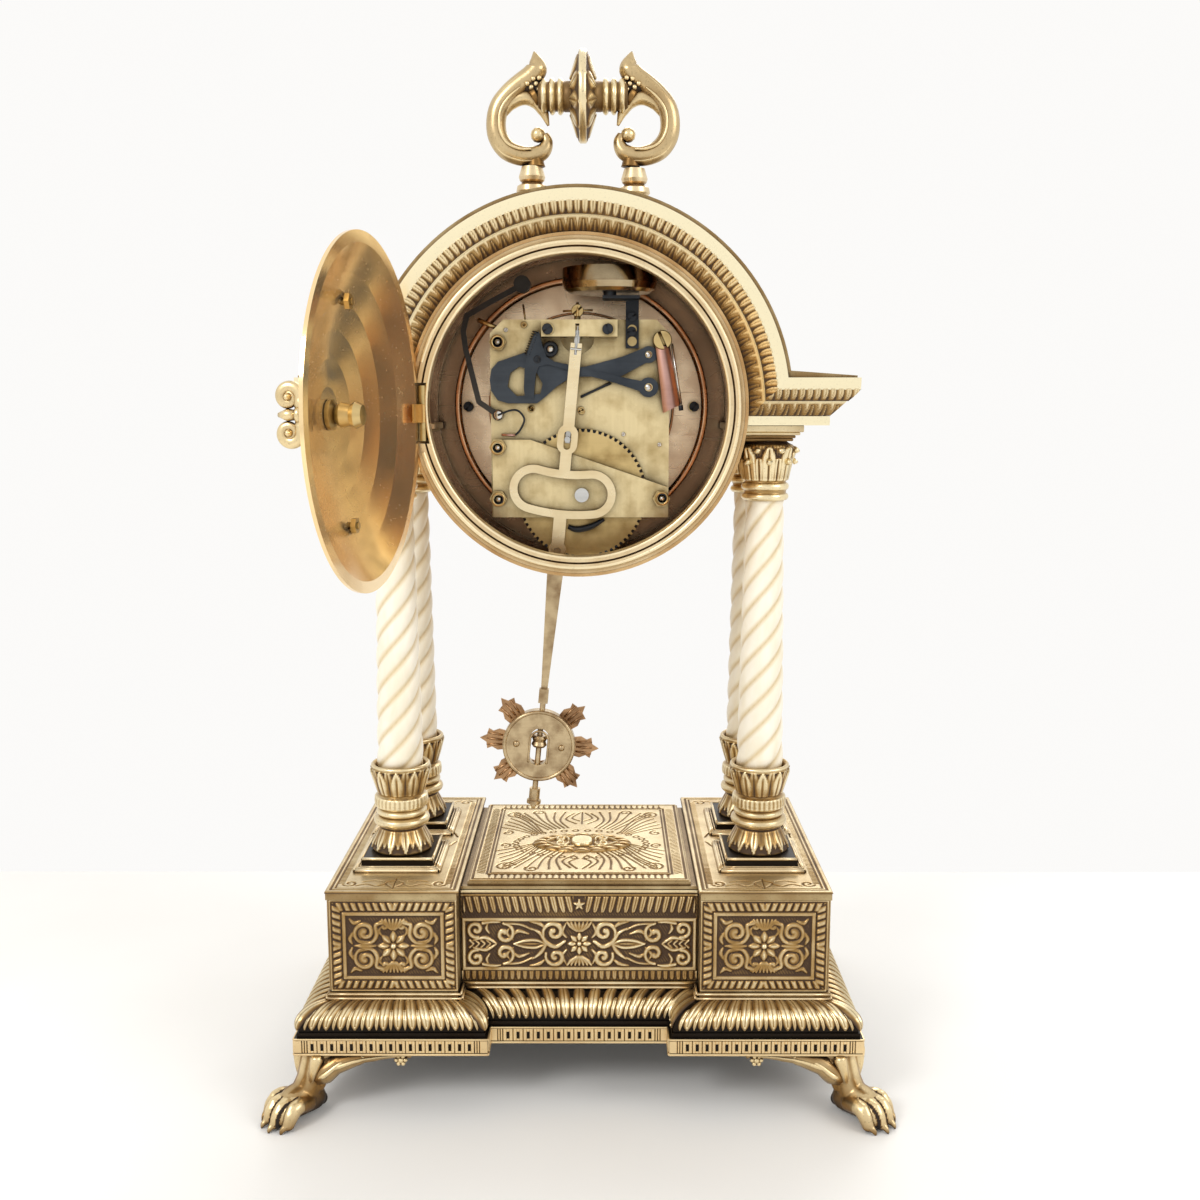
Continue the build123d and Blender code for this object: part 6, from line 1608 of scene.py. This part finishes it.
def add_screws(black, brass):
    """Slotted heads on the cock, the bell strap and the copper strip, and the cock's cross pins."""
    for x, z, turn in ((-12.8, 31.1, 0.5), (11.5, 31.1, 1.9)):
        slotted_head(black, x, -15.2, DIAL_Z + z, 2.2, 0.5, turn)
    for x, z, turn in ((21.4, 36.4, 0.6), (21.3, 30.6, 0.2)):
        slotted_head(black, x, -5.9, DIAL_Z + z, 1.95, 0.5, turn)
    slotted_head(brass, 33.8, -7.0, DIAL_Z + 27.1, 3.9, 1.5, -1.15)
    brass.turned([(3.2, 0.0), (3.2, -4.0)], (33.8, -3.4, DIAL_Z + 27.1), "Y", 24, 0.4)
    slotted_head(brass, -0.7, -13.2, DIAL_Z + 38.4, 2.5, 1.4, 0.7)
    brass.rod([(-6.6, -13.4, DIAL_Z + 38.2), (5.4, -13.4, DIAL_Z + 38.6)], 0.42, 8, 0.7)
    brass.rod([(-0.7, -13.8, DIAL_Z + 41.6), (-0.7, -14.6, DIAL_Z + 36.0)], 0.6, 8, 0.8)


def add_bushes(black, brass, steel):
    """Ringed pivots, pillar nuts, the hubs of the levers and the winding square's collar."""
    for x, z in PIVOTS_RINGED:
        collar(brass, x, MOVEMENT_BACK, DIAL_Z + z, 1.35, 0.5, 0.5)
    for x, z in PIVOTS_SMALL:
        collar(steel, x, MOVEMENT_BACK, DIAL_Z + z, 0.85, 0.45, 0.35)
    for x, z in ((-33.7, 26.4), (-33.7, -16.5), (-33.6, -37.7), (33.9, -37.3)):
        y = -9.4 if z < -10 else MOVEMENT_BACK
        collar(brass, x, y - 2.2, DIAL_Z + z, 2.9, 0.5, 2.2, 0.75)
        # The dark ring in each nut is painted shade in the bore round the pivot.
        collar(black, x, y - 2.3, DIAL_Z + z, 2.1, 0.3, 1.0, 0.4)
        steel.turned([(0.9, 0.0), (0.9, -0.4), (0.5, -0.7), (0.01, -0.75)], (x, y - 2.4, DIAL_Z + z), "Y",
                     18, 0.8)
    collar(black, -12.0, -5.9, DIAL_Z + 23.5, 3.2, 1.3, 1.7, 0.6)
    black.turned([(1.6, 0.0), (1.6, -2.4)], (-12.0, MOVEMENT_BACK, DIAL_Z + 23.5), "Y", 18, 0.4)
    for x, y, z, r in ((-12.0, -6.6, 23.5, 1.35), (28.3, -7.6, 8.0, 1.5), (28.3, -6.0, 21.3, 1.35),
                       (-33.7, -6.2, -3.3, 2.0)):
        steel.turned([(r, 1.0), (r, -0.5), (0.75 * r, -0.9), (0.01, -1.05)], (x, y, DIAL_Z + z), "Y", 22,
                     0.9)


def add_springs(black, brass, steel, red):
    """The bowed copper strip, the wire springs and the small pins on the back of the movement."""
    rows = []
    for t in np.linspace(0, 1, 12):
        x0, x1 = 30.9 + 3.3 * t, 36.9 + 4.2 * t
        z0, z1 = 24.6 - 27.0 * t, 24.6 - 23.8 * t
        y = -7.3 - 1.6 * sin(pi * t * 0.6)
        rows.append([(x0, y, DIAL_Z + z0), (x0 + 0.2, y - 0.55, DIAL_Z + z0),
                     (x1 - 0.2, y - 0.55, DIAL_Z + z1), (x1, y, DIAL_Z + z1)])
    red.surface(np.array(rows), np.array([0.4, 0.9, 0.9, 0.4])[None, :] * np.ones((12, 1)), close_u=True)
    steel.rod([(37.6, -8.6, DIAL_Z + 25.6), (41.6, -8.8, DIAL_Z + 1.0)], 0.55, 8, 0.9)
    black.rod([(41.4, -8.8, DIAL_Z + 0.8), (41.7, -8.8, DIAL_Z - 1.4)], 0.95, 8, 0.6)
    wire = [(-33.7, -8.6, DIAL_Z - 3.3), (-28.6, -8.8, DIAL_Z - 1.4), (-25.2, -8.8, DIAL_Z - 1.6),
            (-22.8, -8.8, DIAL_Z - 5.0), (-24.6, -8.8, DIAL_Z - 9.4), (-26.6, -8.8, DIAL_Z - 11.4)]
    line, wide = smooth_line(wire, 0.42, 0.5)
    black.rod(line, wide, 8, 0.5)
    red.rod([(-26.6, -8.8, DIAL_Z - 11.5), (-32.2, -8.8, DIAL_Z - 11.3)], 0.55, 8, 0.6)
    line, wide = smooth_line([(0.4, -4.1, DIAL_Z + 4.1), (7.0, -4.1, DIAL_Z + 7.2),
                              (12.8, -4.1, DIAL_Z + 9.8)], [0.55, 0.5, 0.55], 0.8)
    black.rod(line, wide, 10, 0.5)
    brass.rod([(-42.1, -1.2, DIAL_Z + 35.5), (-33.5, -1.6, DIAL_Z + 31.9)], 1.0, 10, 0.8)
    brass.rod([(-23.3, -1.4, DIAL_Z + 41.8), (-22.2, -2.4, DIAL_Z + 33.3)], 0.4, 8, 0.8)
    line, wide = smooth_line([(-5.0, -7.6, DIAL_Z - 49.4), (-1.3, -7.6, DIAL_Z - 50.6),
                              (4.4, -7.6, DIAL_Z - 49.4), (10.0, -7.6, DIAL_Z - 46.4)],
                             [0.9, 1.3, 1.3, 0.7], 0.6)
    black.rod(line, wide, 10, 0.5)
    for x in (-50.0, 50.0):
        slotted_head(black, x, 33.2, DIAL_Z, 2.2, 0.5, 0.9)
    # A dark disc that is painted shade in the strike rack's round hole.
    collar(black, -17.3, -7.45, DIAL_Z + 19.3, 1.6, 0.15, 1.1)


def make_movement_details():
    """The small fixed parts on the back of the movement."""
    black, brass, steel, red = Piece(), Piece(), Piece(), Piece()
    add_screws(black, brass)
    add_bushes(black, brass, steel)
    add_springs(black, brass, steel, red)
    black.make("movement_black_parts", blued_black, "case", "blued_steel")
    brass.make("movement_brass_parts", wheel_brass, "case", "plate_brass")
    steel.make("movement_steel_parts", bright_steel, "case", "steel")
    red.make("copper_strip", copper, "case", "plate_brass")


def make_rack_teeth():
    """Saw teeth along the strike rack's edge."""
    teeth = Piece()
    for k in range(10):
        x, z = -18.1 - 0.38 * k, 30.2 - 0.96 * k
        teeth.rod([(x + 1.2, -6.9, DIAL_Z + z - 0.4), (x - 0.2, -6.9, DIAL_Z + z + 0.1),
                   (x - 1.3, -6.9, DIAL_Z + z + 0.5)], [0.6, 0.5, 0.12], 6, 0.5)
    teeth.make("rack_teeth", blued_steel, "strike_rack", "blued_steel")


def make_wheel_rim_shadow():
    """A ring of painted shadow behind the great wheel's teeth: the dark line that parts its rim from its
    web.
    """
    ring = Piece()
    ring.turned([(25.0, -4.5), (26.9, -4.5), (26.9, -4.3), (25.0, -4.3)], WHEEL_CENTRE, "Y", 120,
                0.1)
    ring.make("wheel_rim_shadow", blued_black, "great_wheel", "plate_brass")


def make_drum_inside():
    """The coppery lining glow of the drum: shallow turned lines inside the shell."""
    piece = Piece()
    profile = np.array([(64.22 - 0.10 * (k % 2), y) for k, y in enumerate(np.linspace(-40.0, 33.5, 60))])
    # The gap at the foot of the shell, where the pendulum passes, stays open.
    angle = np.linspace(radians(-90 + 19), radians(270 - 19), 150)
    r, y = profile[None, :, 0], profile[None, :, 1]
    x, z = r * np.cos(angle)[:, None], DIAL_Z + r * np.sin(angle)[:, None]
    piece.surface(np.stack([x, y + 0 * x, z], -1), 0.6)
    piece.make("drum_lining", copper_glow, "case", "drum_brass")


# Pendulum


def swung(points):
    """From the straight-hanging place to the photo's lean, about the pivot."""
    c, s = cos(PENDULUM_TILT), sin(PENDULUM_TILT)
    x, z = points[:, 0] - PIVOT[0], points[:, 2] - PIVOT[2]
    return np.stack([PIVOT[0] + c * x + s * z, points[:, 1], PIVOT[2] - s * x + c * z], 1)


def make_bob_details():
    """A raised brass centre with rim, rivets and an arched slot, and ribs on the rays."""
    px, z0 = PIVOT[0], PIVOT[2] - BOB_DROP
    piece = Piece()
    piece.turned([(15.3, 0.0), (15.3, -0.5), (14.7, -0.9), (14.0, -0.7), (13.8, 0.0)], (px, BOB_FACE, z0),
                 "Y", 72, 0.8)
    for x in (-9.6, 9.6):
        piece.turned([(1.4, 0.0), (1.3, -0.6), (0.7, -1.0), (0.01, -1.1)], (px + x, BOB_FACE, z0), "Y", 18,
                     0.9)
    path = [(px + 3.9 * cos(a), -14.3, z0 + 2.0 + 4.4 * sin(a)) for a in np.linspace(0, pi, 10)]
    path = [(px + 3.9, -14.3, z0 - 7.5)] + path + [(px - 3.9, -14.3, z0 - 7.5)]
    line, wide = smooth_line(path, 0.5, 0.6)
    piece.rod(line, wide, 8, 0.85)
    piece.make("bob_face", pendulum_brass, "bob", "pendulum_brass", move=swung)
    rays = Piece()
    for a in np.radians((0, 45, 135, 180, 225, 315)):
        for lean in (-0.13, 0.0, 0.13):
            p0 = (px + 15.8 * cos(a + lean), -9.8, z0 + 15.8 * sin(a + lean))
            p1 = (px + 22.6 * cos(a + lean * 0.9), -9.8, z0 + 22.6 * sin(a + lean * 0.9))
            rays.rod([p0, tuple((np.array(p0) + p1) / 2), p1], [0.4, 0.6, 0.25], 8, 0.85)
    rays.make("ray_ribs", ray_bronze, "bob", "pendulum_brass", move=swung)


# Dial


def make_numerals():
    """Hour numerals, minute marks and two circles on the dial."""
    strokes = {"I": [((0, -1), (0, 1), 1.0)], "V": [((-0.55, 1), (0, -1), 1.0), ((0.55, 1), (0, -1), 0.45)],
               "X": [((-0.6, 1), (0.6, -1), 1.0), ((0.6, 1), (-0.6, -1), 0.45)]}
    widths = {"I": 0.75, "V": 1.5, "X": 1.6}
    words = ["XII", "I", "II", "III", "IIII", "V", "VI", "VII", "VIII", "IX", "X", "XI"]
    piece = Piece()
    half, middle = 4.4, 46.5
    for hour, word in enumerate(words):
        turn = radians(30 * hour)
        total = sum(widths[letter] for letter in word)
        at = -total / 2
        for letter in word:
            centre = (at + widths[letter] / 2) * 2.1
            at += widths[letter]
            for (x0, y0), (x1, y1), bold in strokes[letter]:
                a = np.array([centre + x0 * 2.1, y0 * half])
                b = np.array([centre + x1 * 2.1, y1 * half])
                along = (b - a) / np.linalg.norm(b - a)

                def place(s, u, h, a=a, along=along, turn=turn):
                    p = a + along * s + np.array([-along[1], along[0]]) * u
                    right, up = p[0], middle + p[1]
                    x = right * cos(turn) + up * sin(turn)
                    z = -right * sin(turn) + up * cos(turn)
                    return (-x, DIAL_FACE + h, DIAL_Z + z)

                chamfered_pad(piece, place, 0, np.linalg.norm(b - a), -0.42 * bold, 0.42 * bold, -0.05,
                              0.12, 0.5, 0.05)
    for k in range(60):
        turn = 2 * pi * k / 60

        def mark(s, u, h, turn=turn):
            return (-(s * sin(turn) + u * cos(turn)), DIAL_FACE + h, DIAL_Z + s * cos(turn) - u * sin(turn))

        half_mark = 0.2 if k % 5 else 0.55
        chamfered_pad(piece, mark, 52.6, 54.6, -half_mark, half_mark, -0.05, 0.12, 0.5, 0.05)
    for radius in (52.4, 54.8, 40.4):
        line = [(radius - 0.16, 43.0), (radius - 0.14, 43.1), (radius + 0.14, 43.1), (radius + 0.16, 43.0)]
        piece.turned(line, (0, 0, DIAL_Z), "Y", 140, 0.5)
    piece.make("dial_numerals", dial_black, "case", "dial_enamel", flat=True)


def make_bezel_beads():
    """A ring of fine beads round the front bezel."""
    piece = Piece()
    for k in range(120):
        a = 2 * pi * k / 120
        piece.bead((61.9 * cos(a), 48.3, DIAL_Z + 61.9 * sin(a)), 1.15, 0.9)
    piece.make("bezel_beads", gilt_cast, "bezel", "case_brass")


make_dentil_band()
make_leaf_flare()
make_ledges()
make_pedestal_panels()
make_centre_panels()
make_side_tops()
make_centre_top()
make_medallion()
make_plinth_caps()
make_column_bases()
make_shafts()
make_capitals()
make_cornice_bands()
make_roof_pattern()
make_handle_scrolls()
make_handle_bar()
make_paws()
make_door_knob()
make_ring_lip()
make_movement_details()
make_rack_teeth()
make_wheel_rim_shadow()
make_drum_inside()
make_bob_details()
make_numerals()
make_bezel_beads()


# Table, wall and light


def make_stage():
    """A pale table, a pale room, three soft lamps and the camera."""
    scene = bpy.context.scene
    scene.view_settings.view_transform = "Standard"
    table, tree, shader = new_material("pale_table", Specular_IOR_Level=0.2)
    tree.links.new(blend(tree, ramp(tree, noise(tree, 3, 4), 0.3, 0.7), rgb("FAF9F6"), rgb("F1EFEB")),
                   shader.inputs["Base Color"])
    shader.inputs["Roughness"].default_value = 0.55
    mesh = bpy.data.meshes.new("table_top")
    half, back_edge = 2.5, 0.193
    mesh.from_pydata([(-half, -half, 0), (half, -half, 0), (half, back_edge, 0), (-half, back_edge, 0)], [],
                     [(0, 1, 2, 3)])
    mesh.materials.append(table)
    top = bpy.data.objects.new("table_top", mesh)
    scene.collection.objects.link(top)

    world = bpy.data.worlds.new("pale_room")
    scene.world = world
    world.use_nodes = True
    tree = world.node_tree
    path = put(tree, "ShaderNodeLightPath").outputs
    seen = sums(tree, "ADD", sums(tree, "ADD", path["Is Camera Ray"], path["Is Glossy Ray"]),
                path["Is Transmission Ray"], True)
    level = sums(tree, "ADD", 0.80, sums(tree, "MULTIPLY", seen, 0.17))
    back = tree.nodes["Background"]
    back.inputs["Color"].default_value = (1.0, 0.99, 0.975, 1)
    tree.links.new(level, back.inputs["Strength"])

    for name, place, size, power in (("lamp_left", (-0.9, -1.1, 1.1), 0.5, 9.0),
                                     ("lamp_right", (1.1, -0.7, 0.9), 0.7, 5.0),
                                     ("lamp_back", (0.2, 1.2, 1.2), 0.8, 7.0)):
        light = bpy.data.lights.new(name, "AREA")
        light.size, light.energy = size, power
        lamp = bpy.data.objects.new(name, light)
        lamp.location = place
        lamp.rotation_euler = (Vector((0, 0, 0.2)) - Vector(place)).to_track_quat("-Z", "Y").to_euler()
        scene.collection.objects.link(lamp)

    lens = bpy.data.cameras.new("photo_camera")
    lens.lens, lens.sensor_width, lens.clip_start = 38.1, 36.0, 0.02
    camera = bpy.data.objects.new("photo_camera", lens)
    camera.location = (0.00935, -0.5364, 0.280)
    camera.rotation_euler = (radians(90 - 8.92), 0, radians(0.11))
    scene.collection.objects.link(camera)
    scene.camera = camera


make_stage()
